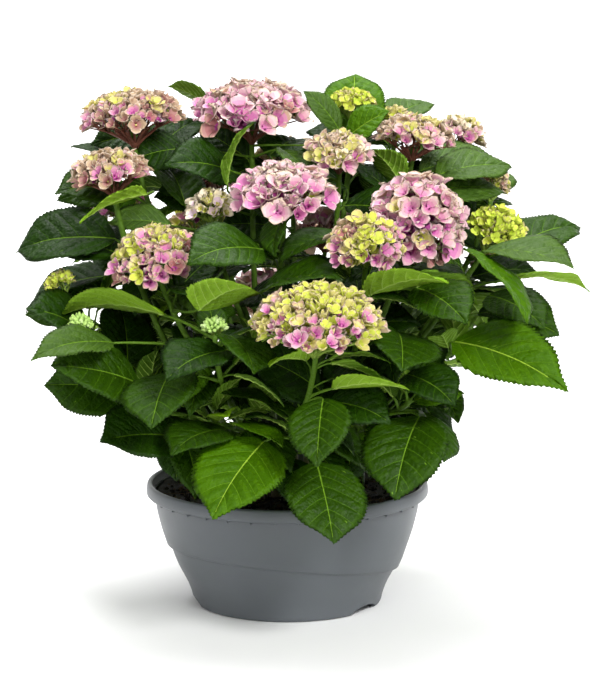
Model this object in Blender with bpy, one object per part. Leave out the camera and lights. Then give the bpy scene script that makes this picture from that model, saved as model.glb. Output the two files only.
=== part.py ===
"""A potted mophead hydrangea: a plastic bowl of soil, fifteen canes and the foliage mass on each.

Metres, +Z up. The origin is the centre of the pot's flat underside and the front faces -Y.
Each cane rises from the soil to a fork. The foliage mass on it starts from a short stem at the
cane's tip, divides into shoots that end in blooms or buds, and carries leaves in opposite pairs,
each pair a quarter turn from the last. A leaf that would touch another piece is turned or
shortened a few times and then left out, so every mass keeps to its own space.
"""

import math
import random

import bmesh
import bpy
from mathutils import Matrix, Vector
from mathutils.bvhtree import BVHTree

MM = 0.001
GAP = 0.3 * MM
SEED = 11
UP = Vector((0, 0, 1))

# Pot
POT_HEIGHT = 130 * MM
RIM_RADIUS = 150 * MM
RIM_BAND = 14 * MM
RIM_WALL = 6 * MM
WALL = 3 * MM
BASE_RADIUS = 94 * MM
BASE_THICK = 12 * MM
POT_SEGMENTS = 40
BODY_PROFILE = ((3, 100), (22, 106), (43, 118), (62, 124.5), (81, 131), (106, 137))  # z, radius in mm
STEP_MIDDLE = 50 * MM
STEP_SLANT = 17.4 * MM
STEP_HIGH_SIDE = -135
STEP_OUT = 3.5 * MM
STEP_RUN = 3 * MM
NOTCH_BEARINGS = (-35, -168, 77)
NOTCH_HALF_WIDTH = 23 * MM
NOTCH_HEIGHT = 8 * MM
NOTCH_FROM = 74 * MM
NOTCH_SEGMENTS = 14

# Soil
SOIL_TOP = 118 * MM
SOIL_DROP = 2 * MM

# Canes and shoots
FOOT_SPREAD = 0.31
FORK_SPREAD = 0.43
FORK_HEIGHT = 0.36
CANE_RADII = (5.6 * MM, 4.6 * MM, 4.3 * MM, 4.0 * MM, 3.8 * MM)
CANE_SIDES = 6
STEM_LENGTH = 12 * MM
STEM_RADIUS = 3.8 * MM
SHOOT_RADII = (3.9 * MM, 3.1 * MM)
SHOOT_SIDES = 3
SHOOT_STEPS = 5
SMALL_BLOOM = 22 * MM
BLOOM_FOOT = 0.26

# Leaves
LEAF_ROWS = ((0.13, 0.60), (0.40, 1.0), (0.69, 0.78))  # place along the blade, share of its width
LEAF_WIDTH = 0.72
LEAF_ARCH = 0.07
LEAF_FOLD = 0.16
LEAF_THICK = 0.014
LEAF_SIDES = 4
SHORTEST_STALK = 9 * MM
LONGEST_STALK = 100 * MM
PETIOLE = 1.25 * MM
CLEARANCE = 1.6
SHARPEST_BEND = math.radians(85)
ROOT_SPACING = 6 * MM
ROOT_ANGLE = math.radians(70)
ROOT_DROP = 6 * MM
MOST_LEAVES = 165
PAIR_SPACING = 38 * MM
FIRST_PAIR = 20 * MM
MOST_PAIRS = 9
LOWEST_LEAF = 128 * MM

# The rounded space of the crown: its middle and its radius at each height, in mm.
CROWN_MIDDLE = (12, 0)
CROWN_FRONT, CROWN_BACK = 1.12, 1.30
SHADED = 0.52
CROWN_PROFILE = (
    (120, 158),
    (220, 182),
    (270, 218),
    (330, 250),
    (400, 260),
    (480, 228),
    (530, 175),
    (560, 60),
)
SIGHT = Vector((13, -2600, 690)) * MM

# Each shoot: x, y, z of its bloom's middle, bloom width, height over width, lean and its bearing.
# A width of 0 is a blind shoot, which carries leaves only.
MASSES = {
    "front": (
        (30, -228, 338, 138, 0.45, 12, -85),
        (20, -150, 215, 0, 0, 50, -90),
        (-30, -110, 210, 0, 0, 50, -100),
    ),
    "front_left": (
        (-132, -150, 392, 94, 0.54, 28, -110),
        (-70, -190, 325, 27, 0.62, 10, -90),
        (-75, -145, 225, 0, 0, 45, -115),
    ),
    "front_right": (
        (135, -120, 428, 108, 0.70, 45, -75),
        (78, -170, 407, 82, 0.60, 30, -90),
        (125, -130, 240, 0, 0, 45, -50),
        (75, -95, 205, 0, 0, 50, -70),
    ),
    "left_front": (
        (-178, -90, 470, 86, 0.50, 8, 200),
        (-207, -135, 318, 28, 0.75, 15, 200),
        (-150, -90, 230, 0, 0, 45, 210),
    ),
    "middle": (
        (-2, -130, 453, 108, 0.42, 24, -90),
        (-79, -60, 432, 56, 0.60, 10, -120),
        (-30, -105, 285, 0, 0, 40, -100),
    ),
    "left_top": (
        (-163, 0, 520, 114, 0.46, 5, 180),
        (-120, -30, 330, 0, 0, 40, 200),
    ),
    "left_side": (
        (-234, -60, 352, 38, 0.60, 20, 180),
        (-190, -15, 290, 0, 0, 50, 180),
    ),
    "top_left": (
        (-37, 10, 526, 132, 0.42, 12, -90),
        (-94, 128, 438, 90, 0.50, 20, 115),
    ),
    "top_right": (
        (54, -40, 485, 74, 0.50, 20, -90),
        (68, 50, 530, 56, 0.50, 5, 90),
        (85, -60, 350, 0, 0, 40, -50),
    ),
    "right_top": (
        (133, 0, 499, 88, 0.50, 5, 0),
        (186, 90, 495, 62, 0.62, 10, 30),
        (116, 110, 512, 34, 0.60, 5, 90),
    ),
    "right_side": (
        (221, -20, 402, 70, 0.68, 32, -15),
        (222, 60, 444, 38, 1.0, 12, 20),
        (175, -55, 280, 0, 0, 50, -20),
    ),
    "back_right": (
        (150, 185, 395, 84, 0.52, 25, 50),
        (225, 130, 345, 60, 0.55, 30, 30),
        (130, 125, 240, 0, 0, 50, 45),
    ),
    "back": (
        (5, 140, 460, 95, 0.50, 15, 90),
        (45, 220, 375, 90, 0.52, 35, 80),
        (15, 165, 235, 0, 0, 50, 90),
    ),
    "back_left": (
        (-95, 200, 385, 95, 0.52, 30, 115),
        (-30, 245, 300, 84, 0.50, 45, 95),
        (-105, 130, 235, 0, 0, 50, 130),
    ),
    "left_back": (
        (-190, 110, 410, 80, 0.50, 25, 150),
        (-175, 75, 270, 0, 0, 50, 155),
    ),
}

# The large leaves that shape the front and the outline: x, y, z of the heel and then
# bearing, rise, length and roll of the blade, in mm and degrees, and its width in hundredths of
# its length.
LEADING_LEAVES = (
    # left
    (-175, -60, 395, 168, -7, 112, -34, 76),
    (-190, -10, 350, 165, -20, 100, -20, 72),
    (-194, -70, 287, -150, 30, 104, -40, 78),
    (-120, -150, 329, 155, 0, 120, 25, 64),
    (-176, -110, 295, -138, 0, 100, -28, 46),
    (-151, -95, 250, -150, 15, 114, -45, 76),
    (-113, -120, 200, -140, 5, 95, -40, 80),
    (-164, -60, 442, -140, 6, 80, -38, 72),
    (-140, -110, 446, -140, -15, 85, 30, 54),
    (-165, -60, 265, 100, 35, 90, 20, 72),
    # front
    (-114, -170, 275, -100, -25, 90, 10, 84),
    (-60, -130, 210, -140, -5, 84, -10, 80),
    (-22, -170, 206, -120, -30, 114, -15, 78),
    (-60, -160, 295, -135, -10, 80, -15, 84),
    (-55, -190, 315, -80, -20, 70, -15, 88),
    (35, -170, 255, -150, 30, 90, -50, 80),
    (20, -215, 295, -140, 5, 60, 20, 72),
    (45, -205, 265, -30, 5, 85, -20, 72),
    (40, -195, 250, -40, -5, 80, 35, 72),
    (36, -205, 255, -95, -38, 85, 5, 72),
    (30, -175, 185, -80, -40, 100, 0, 80),
    (133, -150, 227, -110, -35, 105, 0, 82),
    (110, -170, 315, -90, -15, 90, -20, 86),
    (120, -150, 270, -50, -15, 70, 20, 80),
    (139, -100, 222, -70, -35, 70, -30, 80),
    (80, -160, 350, -40, 15, 105, -15, 72),
    (130, -140, 355, -55, -15, 85, 20, 72),
    # right
    (170, -90, 293, -35, -13, 140, 30, 60),
    (209, -40, 334, -50, -15, 84, 20, 72),
    (180, -100, 390, -60, -35, 110, -20, 66),
    (205, -40, 380, -35, -5, 103, 10, 76),
    (225, -10, 345, 20, -5, 105, -10, 52),
    (230, 20, 371, 30, 14, 105, 16, 66),
    (140, 45, 455, 25, 5, 95, 20, 80),
    (155, -10, 455, 35, 5, 90, 20, 76),
    (150, -15, 438, 25, 0, 88, 28, 72),
    # top
    (70, 66, 490, 85, 58, 80, 0, 84),
    (56, 32, 498, -170, 50, 60, -60, 50),
    (61, -8, 493, -12, 32, 58, 55, 70),
    (105, 90, 504, 40, 15, 75, 15, 72),
    (-80, 75, 519, 155, 25, 60, 40, 72),
    (-145, 30, 470, 40, 30, 85, 10, 72),
    (-184, 40, 468, 150, 15, 58, 0, 72),
    (-105, -30, 425, 125, 30, 85, 15, 72),
    (-55, -20, 460, -145, 10, 85, -45, 72),
    (-61, -75, 452, -35, 66, 76, 25, 60),
    (-5, -45, 485, -60, -25, 75, -10, 72),
    (-118, -55, 408, -170, 5, 65, -30, 72),
    (-25, -150, 395, -140, 0, 90, -30, 80),
    (60, -140, 410, -140, -15, 80, -5, 72),
    (-86, -190, 340, -40, 25, 75, -20, 94),
    (-25, -130, 350, -35, 15, 100, 20, 72),
    # within
    (60, -20, 425, -20, -5, 70, 40, 70),
    (62, 10, 440, -150, 10, 70, -20, 74),
    (105, 40, 452, -35, -10, 80, 20, 74),
    (-55, 30, 485, -160, -5, 80, 10, 76),
    (-100, 30, 430, 160, 5, 85, 20, 76),
    (-40, 25, 468, 160, 30, 66, -50, 78),
    (195, 20, 345, -10, 5, 75, 25, 74),
    (200, -10, 310, -20, 0, 75, 20, 76),
    (-75, -10, 425, -175, 10, 68, -40, 80),
    (180, 60, 430, 40, 10, 90, 25, 76),
    (-20, 60, 470, 60, 10, 80, 10, 76),
    (35, 70, 450, 100, 15, 85, 0, 76),
    (-45, -60, 330, -60, 15, 80, 30, 78),
    (60, -70, 300, -20, 10, 80, 30, 78),
    (119, -14, 447, -170, 50, 50, 35, 90),
)
SLIDES = (0, 12, -12, 24, -24, 40, -40, 60)
SWINGS = (0, 20, -20, 40, -40, 60, -60)

COLOURS = {
    "pot_plastic": ((0.128, 0.145, 0.156), 0.45),
    "soil_peat": ((0.012, 0.009, 0.007), 0.95),
    "cane_bark": ((0.150, 0.180, 0.070), 0.70),
    "foliage": ((0.036, 0.105, 0.010), 0.45),
}


def direction(bearing, rise):
    """Unit vector at a bearing round +Z, counted from +X, and a rise above the horizon, in degrees."""
    b, r = math.radians(bearing), math.radians(rise)
    return Vector((math.cos(b) * math.cos(r), math.sin(b) * math.cos(r), math.sin(r)))


def across(along):
    """Two unit vectors square to this one and to each other, the second as near to +Z as can be."""
    side = along.cross(UP)
    if side.length < 1e-6:
        side = Vector((1, 0, 0))
    side.normalize()
    return side, side.cross(along).normalized()


def curve(start, start_way, end, end_way, steps):
    """Points of a cubic curve that leaves start along start_way and arrives at end along end_way."""
    reach = (end - start).length / 3
    a, b = start + start_way * reach, end - end_way * reach
    points = []
    for k in range(steps + 1):
        t = k / steps
        s = 1 - t
        points.append(start * s**3 + a * (3 * s * s * t) + b * (3 * s * t * t) + end * t**3)
    return points


def loft(rings, tip=None):
    """A closed body through rings of equal count, capped at its start and at its end or at a tip."""
    verts = [p for ring in rings for p in ring]
    n = len(rings[0])
    faces = [tuple(range(n))]
    for k in range(len(rings) - 1):
        for i in range(n):
            a, b = k * n + i, k * n + (i + 1) % n
            faces.append((b, a, a + n))
            faces.append((b, a + n, b + n))
    last = (len(rings) - 1) * n
    if tip is None:
        faces.append(tuple(last + i for i in reversed(range(n))))
    else:
        verts.append(tip)
        faces += [(last + (i + 1) % n, last + i, len(verts) - 1) for i in range(n)]
    return verts, faces


def tube(path, radii, sides, turn=0.0):
    """A tapering limb along a path, its radius dealt evenly from those given."""
    rings = []
    side, over = across((path[1] - path[0]).normalized())
    for k, point in enumerate(path):
        ahead = path[min(k + 1, len(path) - 1)] - path[max(k - 1, 0)]
        if k == 0:
            ahead = path[1] - path[0]
        ahead.normalize()
        side = (side - ahead * side.dot(ahead)).normalized()
        over = side.cross(ahead)
        place = k / (len(path) - 1) * (len(radii) - 1)
        low = min(int(place), len(radii) - 2)
        radius = radii[low] + (radii[low + 1] - radii[low]) * (place - low)
        ring = []
        for i in range(sides):
            angle = 2 * math.pi * i / sides + turn
            ring.append(point + side * radius * math.cos(angle) + over * radius * math.sin(angle))
        rings.append(ring)
    return loft(rings)


def bloom(origin, axis, radius, height, draw):
    """A flat-bottomed dome of florets: knobbly rings round the axis between two end points."""
    side, over = across(axis)
    profile = ((0.45, 0.88), (0.82, 0.56), (1.0, 0.08), (0.70, -0.16))
    segments = 12 if radius > SMALL_BLOOM else 8
    verts = [origin + axis * height]
    for k, (out, up) in enumerate(profile):
        for i in range(segments):
            angle = 2 * math.pi * (i + 0.5 * (k % 2)) / segments
            swell = 1 + draw.uniform(-0.05, 0.05)
            spoke = side * math.cos(angle) + over * math.sin(angle)
            verts.append(origin + spoke * radius * out * swell + axis * height * up * swell)
    verts.append(origin - axis * radius * BLOOM_FOOT)
    faces = [(0, 1 + (i + 1) % segments, 1 + i) for i in range(segments)]
    for k in range(len(profile) - 1):
        for i in range(segments):
            a = 1 + k * segments + i
            b = 1 + k * segments + (i + 1) % segments
            faces.append((a, b, a + segments))
            faces.append((b, b + segments, a + segments))
    foot = len(verts) - 1
    last = 1 + (len(profile) - 1) * segments
    faces += [(last + i, last + (i + 1) % segments, foot) for i in range(segments)]
    return verts, faces


def blade_axes(leaf):
    """Chord, side and normal of a leaf's blade."""
    chord = (leaf["tip"] - leaf["heel"]).normalized()
    side, normal = across(chord)
    roll = math.radians(leaf["roll"])
    facing = normal * math.cos(roll) + side * math.sin(roll)
    return chord, chord.cross(facing).normalized(), facing.normalized()


def leaf_solid(leaf, swell=1.0):
    """Petiole and blade in one body: four-sided rings that widen into an arched, folded blade."""
    chord, side, normal = blade_axes(leaf)
    root, heel = leaf["root"], leaf["heel"]
    length = (leaf["tip"] - heel).length
    stalk = (heel - root).normalized()
    bend = (stalk + chord).normalized()
    thick = LEAF_THICK * length * swell / 2
    stem = PETIOLE * swell
    rings = []

    def ring(centre, half, over, across_way, lift):
        return [
            centre - across_way * half + normal * lift,
            centre + over,
            centre + across_way * half + normal * lift,
            centre - over,
        ]

    for centre, way in ((root, stalk), (heel, bend)):
        level = (side - way * side.dot(way)).normalized()
        rings.append(ring(centre, stem, level.cross(way) * stem, level, 0))
    for place, share in LEAF_ROWS:
        lift = LEAF_ARCH * length * 4 * place * (1 - place)
        centre = heel + chord * place * length + normal * lift
        half = leaf["width"] * share / 2 * (1 + 0.04 * (swell - 1))
        rings.append(ring(centre, half, normal * thick, side, LEAF_FOLD * half))
    return loft(rings, leaf["tip"])


def radius_at(profile, z):
    """Radius at a height, in metres, from pairs of height and radius in mm."""
    for (z0, r0), (z1, r1) in zip(profile, profile[1:]):
        if z <= z1 * MM:
            share = max(z / MM - z0, 0) / (z1 - z0)
            return (r0 + (r1 - r0) * share) * MM
    return profile[-1][1] * MM


def crown_share(point):
    """How far out a point lies, as a share of the crown's reach at its height."""
    x, y = point.x - CROWN_MIDDLE[0] * MM, point.y - CROWN_MIDDLE[1] * MM
    return math.hypot(x, y / (CROWN_FRONT if y < 0 else CROWN_BACK)) / radius_at(CROWN_PROFILE, point.z)


def in_crown(point):
    return crown_share(point) < 1 and point.z > LOWEST_LEAF


class Piece:
    """A closed mesh with the box and the tree that tell whether another one touches it."""

    def __init__(self, verts, faces, kind, mass):
        self.verts, self.faces, self.kind, self.mass = verts, faces, kind, mass
        self.low = Vector([min(v[i] for v in verts) for i in range(3)])
        self.high = Vector([max(v[i] for v in verts) for i in range(3)])
        self.tree = BVHTree.FromPolygons(verts, faces)

    def touches(self, other):
        for i in range(3):
            if self.low[i] > other.high[i] or other.low[i] > self.high[i]:
                return False
        return bool(self.tree.overlap(other.tree))


def shoot_end(row):
    """Foot point and axis of a shoot's bloom, and the bloom's radius and height."""
    x, y, z, width, ratio, lean, bearing = row
    axis = direction(bearing, 90 - lean)
    radius = width * MM / 2
    height = max(ratio * width * MM - BLOOM_FOOT * radius, 0.5 * radius)
    middle = Vector((x, y, z)) * MM
    return middle - axis * (height - BLOOM_FOOT * radius) / 2, axis, radius, height


def plan_limbs():
    """Cane path, stem path and shoots of every mass."""
    plan = {}
    for name, rows in MASSES.items():
        mean = sum((Vector(row[:3]) for row in rows), Vector()) / len(rows) * MM
        foot = Vector((mean.x * FOOT_SPREAD, mean.y * FOOT_SPREAD, SOIL_TOP + GAP))
        rise = (mean.z - SOIL_TOP) * FORK_HEIGHT
        fork = Vector((mean.x * FORK_SPREAD, mean.y * FORK_SPREAD, SOIL_TOP + rise))
        way = (Vector((mean.x, mean.y, mean.z)) - fork).normalized()
        cane = curve(foot, UP, fork - way * STEM_LENGTH, way, 3) + [fork - way * GAP / 2]
        base = fork + way * GAP / 2
        stem = [base, base + way * STEM_LENGTH / 2, base + way * STEM_LENGTH]
        shoots = []
        for k, row in enumerate(rows):
            origin, axis, radius, height = shoot_end(row)
            end = origin - axis * radius * 0.1
            start = base + way * STEM_LENGTH * (0.78 - 0.12 * k)
            leave = (way + (end - start).normalized() * 0.8).normalized()
            path = curve(start, leave, end, axis, SHOOT_STEPS)
            bloom_size = {"origin": origin, "axis": axis, "radius": radius, "height": height}
            shoots.append({"path": path, "bloom": bloom_size})
        plan[name] = {"cane": cane, "stem": stem, "shoots": shoots}
    return plan


def along(path, distance_from_end):
    """The point this far back from a path's end, and the path's way there."""
    left = distance_from_end
    for k in range(len(path) - 1, 0, -1):
        step = path[k] - path[k - 1]
        if left <= step.length:
            return path[k] - step.normalized() * left, step.normalized()
        left -= step.length
    return None, None


def nearest(path, point):
    """The nearest place on a path that lies below the point, as (distance, place)."""
    best = (1e9, None)
    for k in range(len(path) - 1):
        for t in (0.0, 0.25, 0.5, 0.75):
            place = path[k].lerp(path[k + 1], t)
            if place.z < point.z - ROOT_DROP:
                best = min(best, ((place - point).length, tuple(place)))
    return best[0], best[1] and Vector(best[1])


class Plant:
    """Grows the pieces, each tested against all that stand already."""

    def __init__(self):
        self.draw = random.Random(SEED)
        self.plan = plan_limbs()
        self.pieces = []
        self.leaves = []
        for name, parts in self.plan.items():
            self.add(tube(parts["cane"], CANE_RADII, CANE_SIDES), "cane", name)
            self.add(tube(parts["stem"], (STEM_RADIUS, STEM_RADIUS * 0.9), CANE_SIDES), "stem", name)
            for k, shoot in enumerate(parts["shoots"]):
                self.add(tube(shoot["path"], SHOOT_RADII, SHOOT_SIDES, 0.5 * k), "shoot", name)
                if shoot["bloom"]["radius"]:
                    self.add(bloom(draw=self.draw, **shoot["bloom"]), "bloom", name)
        for row in LEADING_LEAVES:
            self.lead_leaf(row)
        shown = [piece for piece in self.pieces if piece.kind in ("bloom", "leaf")]
        self.front = self.joined_tree(shown)
        self.leaf_pairs()

    def add(self, mesh, kind, mass):
        self.pieces.append(Piece(mesh[0], mesh[1], kind, mass))

    def joined_tree(self, pieces):
        verts, faces = [], []
        for piece in pieces:
            start = len(verts)
            verts += piece.verts
            faces += [tuple(i + start for i in face) for face in piece.faces]
        return BVHTree.FromPolygons(verts, faces)

    def free(self, leaf, mass):
        """True where the leaf, a little swollen, touches nothing but the shoots of its own mass."""
        stalk = leaf["heel"] - leaf["root"]
        for other in self.leaves:
            if (other["root"] - leaf["root"]).length < ROOT_SPACING:
                if stalk.angle(other["heel"] - other["root"]) < ROOT_ANGLE:
                    return False
        trial = Piece(*leaf_solid(leaf, CLEARANCE), "leaf", mass)
        bare = dict(leaf, root=leaf["heel"] + (leaf["root"] - leaf["heel"]).normalized() * 3 * MM)
        blade = Piece(*leaf_solid(bare, CLEARANCE), "leaf", mass)
        for piece in self.pieces:
            own_limb = piece.mass == mass and piece.kind in ("shoot", "stem")
            if (blade if own_limb else trial).touches(piece):
                return False
        return True

    def keep(self, leaf, mass):
        leaf["mass"] = mass
        self.leaves.append(leaf)
        self.add(leaf_solid(leaf), "leaf", mass)

    def lead_leaf(self, row):
        x, y, z, bearing, rise, length, roll, width = row
        heel = Vector((x, y, z)) * MM
        for slide, swing in ((s, w) for s in SLIDES for w in (0, 12, -12)):
            moved = heel + (heel - SIGHT) / -SIGHT.y * slide * MM
            blade = direction(bearing + swing, rise) * length * MM
            roots = []
            for name, parts in self.plan.items():
                for shoot in parts["shoots"]:
                    distance, place = nearest(shoot["path"], moved)
                    if place and distance > SHORTEST_STALK and (moved - place).angle(blade) < SHARPEST_BEND:
                        roots.append((distance, name, place))
            roots.sort(key=lambda entry: entry[0])
            for distance, name, place in roots[:5]:
                leaf = {
                    "root": place,
                    "heel": moved,
                    "tip": moved + blade,
                    "roll": roll,
                    "width": length * MM * width / 100,
                }
                if distance < LONGEST_STALK and self.free(leaf, name):
                    self.keep(leaf, name)
                    return

    def hides_front(self, leaf):
        """True where the leaf hangs before a bloom or a leading leaf, for a viewer at SIGHT."""
        verts, faces = leaf_solid(leaf)
        middles = [sum((verts[i] for i in face), Vector()) / len(face) for face in faces]
        points = verts[LEAF_SIDES:] + middles[2 * LEAF_SIDES :]
        for point in points:
            if self.front.ray_cast(point, (point - SIGHT).normalized(), 0.5)[0]:
                return True
        return False

    def leaf_pairs(self):
        """The uppermost pair of every shoot, then the next pair of every shoot, and so on down."""
        states = []
        for name, parts in self.plan.items():
            for shoot in parts["shoots"]:
                turn = self.draw.uniform(0, 180)
                back = FIRST_PAIR + shoot["bloom"]["radius"] * 0.2
                states.append({"name": name, "path": shoot["path"], "turn": turn, "back": back})
        for pair in range(MOST_PAIRS):
            for state in states:
                node, way = along(state["path"], state["back"])
                if node is None:
                    continue
                for half in (0, 180):
                    self.pair_leaf(state["name"], node, way, state["turn"] + half, pair)
                state["turn"] += 90 + self.draw.uniform(-12, 12)
                state["back"] += PAIR_SPACING * self.draw.uniform(0.8, 1.15)

    def pair_leaf(self, name, node, way, turn, pair):
        """One leaf of a pair: it stands out from its shoot and sags, the lower the more."""
        length = self.draw.uniform(90, 124) * MM
        rise = math.radians(self.draw.uniform(-5, 25) - 7 * pair)
        sag = UP * self.draw.uniform(0.05, 0.30)
        roll = self.draw.uniform(-25, 25)
        stalk = self.draw.uniform(16, 30) * MM
        side, over = across(way)
        for swing, shrink in ((w, k) for w in SWINGS for k in (1, 0.82, 0.66)):
            if len(self.leaves) >= MOST_LEAVES:
                return
            angle = math.radians(turn + swing)
            spoke = side * math.cos(angle) + over * math.sin(angle)
            heel = node + (spoke * 0.8 + way * 0.6) * stalk
            blade = (spoke * math.cos(rise) + way * math.sin(rise) - sag).normalized() * length * shrink
            leaf = {
                "root": node,
                "heel": heel,
                "tip": heel + blade,
                "roll": roll,
                "width": length * shrink * LEAF_WIDTH * 0.96,
            }
            blade_points = leaf_solid(leaf)[0][2 * LEAF_SIDES :]
            if crown_share(leaf["tip"]) < SHADED or not all(map(in_crown, blade_points)):
                continue
            if not self.hides_front(leaf) and self.free(leaf, name):
                self.keep(leaf, name)
                return


def new_object(name, verts, faces, material):
    """A mesh object with its normals turned out, in the scene's collection."""
    mesh = bpy.data.meshes.new(name)
    body = bmesh.new()
    points = [body.verts.new(v) for v in verts]
    for face in faces:
        body.faces.new([points[i] for i in face])
    bmesh.ops.triangulate(body, faces=body.faces[:])
    bmesh.ops.recalc_face_normals(body, faces=body.faces[:])
    body.to_mesh(mesh)
    body.free()
    mesh.materials.append(material)
    made = bpy.data.objects.new(name, mesh)
    bpy.context.scene.collection.objects.link(made)
    return made


def make_material(name):
    colour, roughness = COLOURS[name]
    material = bpy.data.materials.new(name)
    material.use_nodes = True
    shader = material.node_tree.nodes["Principled BSDF"]
    shader.inputs["Base Color"].default_value = (*colour, 1)
    shader.inputs["Roughness"].default_value = roughness
    shader.inputs["Metallic"].default_value = 0
    return material


def apply_modifiers(made):
    """The object's mesh as its modifiers leave it, with the modifiers removed."""
    bpy.context.view_layer.update()
    graph = bpy.context.evaluated_depsgraph_get()
    mesh = bpy.data.meshes.new_from_object(made.evaluated_get(graph))
    made.modifiers.clear()
    made.data = mesh


def fuse(name, pieces, material):
    """One closed body from overlapping ones, by a Boolean union on their collection."""
    first = new_object(name, pieces[0].verts, pieces[0].faces, material)
    others = [new_object(f"{name}_part", p.verts, p.faces, material) for p in pieces[1:]]
    group = bpy.data.collections.new(f"{name}_parts")
    bpy.context.scene.collection.children.link(group)
    for other in others:
        bpy.context.scene.collection.objects.unlink(other)
        group.objects.link(other)
    union = first.modifiers.new("union", "BOOLEAN")
    union.operation = "UNION"
    union.solver = "EXACT"
    union.operand_type = "COLLECTION"
    union.collection = group
    apply_modifiers(first)
    for other in others:
        bpy.data.objects.remove(other)
    bpy.data.collections.remove(group)
    return first


def body_radius(z):
    return radius_at(BODY_PROFILE, z)


def pot_column(angle):
    """Radius and height of the pot's points at one angle, from the underside up and down inside."""
    step = STEP_MIDDLE + STEP_SLANT * math.cos(angle - math.radians(STEP_HIGH_SIDE))
    band = POT_HEIGHT - RIM_BAND
    column = [(BASE_RADIUS, 0.0), (body_radius(3 * MM), 3 * MM), (body_radius(22 * MM), 22 * MM)]
    column.append((body_radius(step - STEP_RUN), step - STEP_RUN))
    column.append((body_radius(step) + STEP_OUT, step))
    for z in (81 * MM, band - 1.5 * MM):
        column.append((body_radius(z) + STEP_OUT, z))
    column += [
        (RIM_RADIUS - 2.5 * MM, band),
        (RIM_RADIUS, band + 3 * MM),
        (RIM_RADIUS - 0.6 * MM, POT_HEIGHT - 2 * MM),
        (RIM_RADIUS - 2.5 * MM, POT_HEIGHT),
        (RIM_RADIUS - RIM_WALL, POT_HEIGHT),
        (body_radius(band) - WALL + STEP_OUT, band - 6 * MM),
        (body_radius(43 * MM) - WALL, 43 * MM),
        (body_radius(BASE_THICK) - WALL, BASE_THICK),
    ]
    return column


def make_pot(material):
    columns = [pot_column(2 * math.pi * k / POT_SEGMENTS) for k in range(POT_SEGMENTS)]
    rings = []
    for level in range(len(columns[0])):
        ring = []
        for k, column in enumerate(columns):
            angle = 2 * math.pi * k / POT_SEGMENTS
            radius, z = column[level]
            ring.append(Vector((radius * math.cos(angle), radius * math.sin(angle), z)))
        rings.append(ring)
    pot = new_object("pot", *loft(rings), material)
    for bearing in NOTCH_BEARINGS:
        arch = []
        for radius in (NOTCH_FROM, RIM_RADIUS):
            ring = []
            for k in range(NOTCH_SEGMENTS):
                angle = 2 * math.pi * k / NOTCH_SEGMENTS
                level, rise = NOTCH_HALF_WIDTH * math.cos(angle), NOTCH_HEIGHT * math.sin(angle)
                ring.append(Matrix.Rotation(math.radians(bearing), 3, "Z") @ Vector((radius, level, rise)))
            arch.append(ring)
        cutter = new_object("notch", *loft(arch), material)
        cut = pot.modifiers.new("notch", "BOOLEAN")
        cut.operation = "DIFFERENCE"
        cut.solver = "EXACT"
        cut.object = cutter
        apply_modifiers(pot)
        bpy.data.objects.remove(cutter)
    return pot


def make_soil(material):
    """The root ball and soil: they fill the pot to a little under its rim, clear of its wall."""
    floor = BASE_THICK + GAP
    band = POT_HEIGHT - RIM_BAND
    wall = body_radius(band) - WALL + STEP_OUT - 2 * GAP
    sections = (
        (body_radius(BASE_THICK) - WALL - 2 * GAP, floor),
        (body_radius(43 * MM) - WALL - 2 * GAP, 43 * MM),
        (wall, band - 6 * MM),
        (wall + 0.6 * MM, SOIL_TOP - SOIL_DROP),
        (wall * 0.78, SOIL_TOP),
    )
    rings = []
    for radius, z in sections:
        ring = []
        for k in range(POT_SEGMENTS):
            angle = 2 * math.pi * k / POT_SEGMENTS
            ring.append(Vector((radius * math.cos(angle), radius * math.sin(angle), z)))
        rings.append(ring)
    return new_object("soil", *loft(rings), material)


def main():
    for old in list(bpy.data.objects):
        bpy.data.objects.remove(old)
    materials = {name: make_material(name) for name in COLOURS}
    make_pot(materials["pot_plastic"])
    make_soil(materials["soil_peat"])
    plant = Plant()
    for name, parts in plant.plan.items():
        new_object(f"cane_{name}", *tube(parts["cane"], CANE_RADII, CANE_SIDES), materials["cane_bark"])
        pieces = [piece for piece in plant.pieces if piece.mass == name and piece.kind != "cane"]
        fuse(f"foliage_{name}", pieces, materials["foliage"])


main()
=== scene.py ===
import math
import random

import bmesh
import bpy
import numpy as np
from mathutils import Matrix, Vector, noise
from mathutils.bvhtree import BVHTree


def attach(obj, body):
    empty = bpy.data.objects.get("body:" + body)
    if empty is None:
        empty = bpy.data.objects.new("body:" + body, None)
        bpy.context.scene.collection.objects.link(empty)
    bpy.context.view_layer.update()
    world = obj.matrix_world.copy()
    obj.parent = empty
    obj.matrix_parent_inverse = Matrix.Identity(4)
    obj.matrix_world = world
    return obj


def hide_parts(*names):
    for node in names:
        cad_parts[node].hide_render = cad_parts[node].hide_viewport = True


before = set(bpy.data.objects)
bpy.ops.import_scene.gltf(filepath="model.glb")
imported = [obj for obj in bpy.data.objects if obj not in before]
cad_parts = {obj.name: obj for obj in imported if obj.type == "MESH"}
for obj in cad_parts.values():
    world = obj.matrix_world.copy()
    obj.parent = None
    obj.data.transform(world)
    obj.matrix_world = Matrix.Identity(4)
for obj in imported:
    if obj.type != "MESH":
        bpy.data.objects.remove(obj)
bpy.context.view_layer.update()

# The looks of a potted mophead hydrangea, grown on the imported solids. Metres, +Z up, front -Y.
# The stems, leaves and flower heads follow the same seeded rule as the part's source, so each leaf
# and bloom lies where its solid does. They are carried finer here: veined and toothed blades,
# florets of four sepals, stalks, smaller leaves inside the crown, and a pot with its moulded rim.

MM = 0.001
GAP = 0.3 * MM
SEED = 11
UP = Vector((0, 0, 1))

# Camera: where the photographer stood, the point looked at and the lens for a 36 mm frame
EYE = Vector((0.0134, -2.6, 0.6906))
LOOK_AT = Vector((0.0134, 0, 0.2699))
LENS = 128.2

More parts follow.
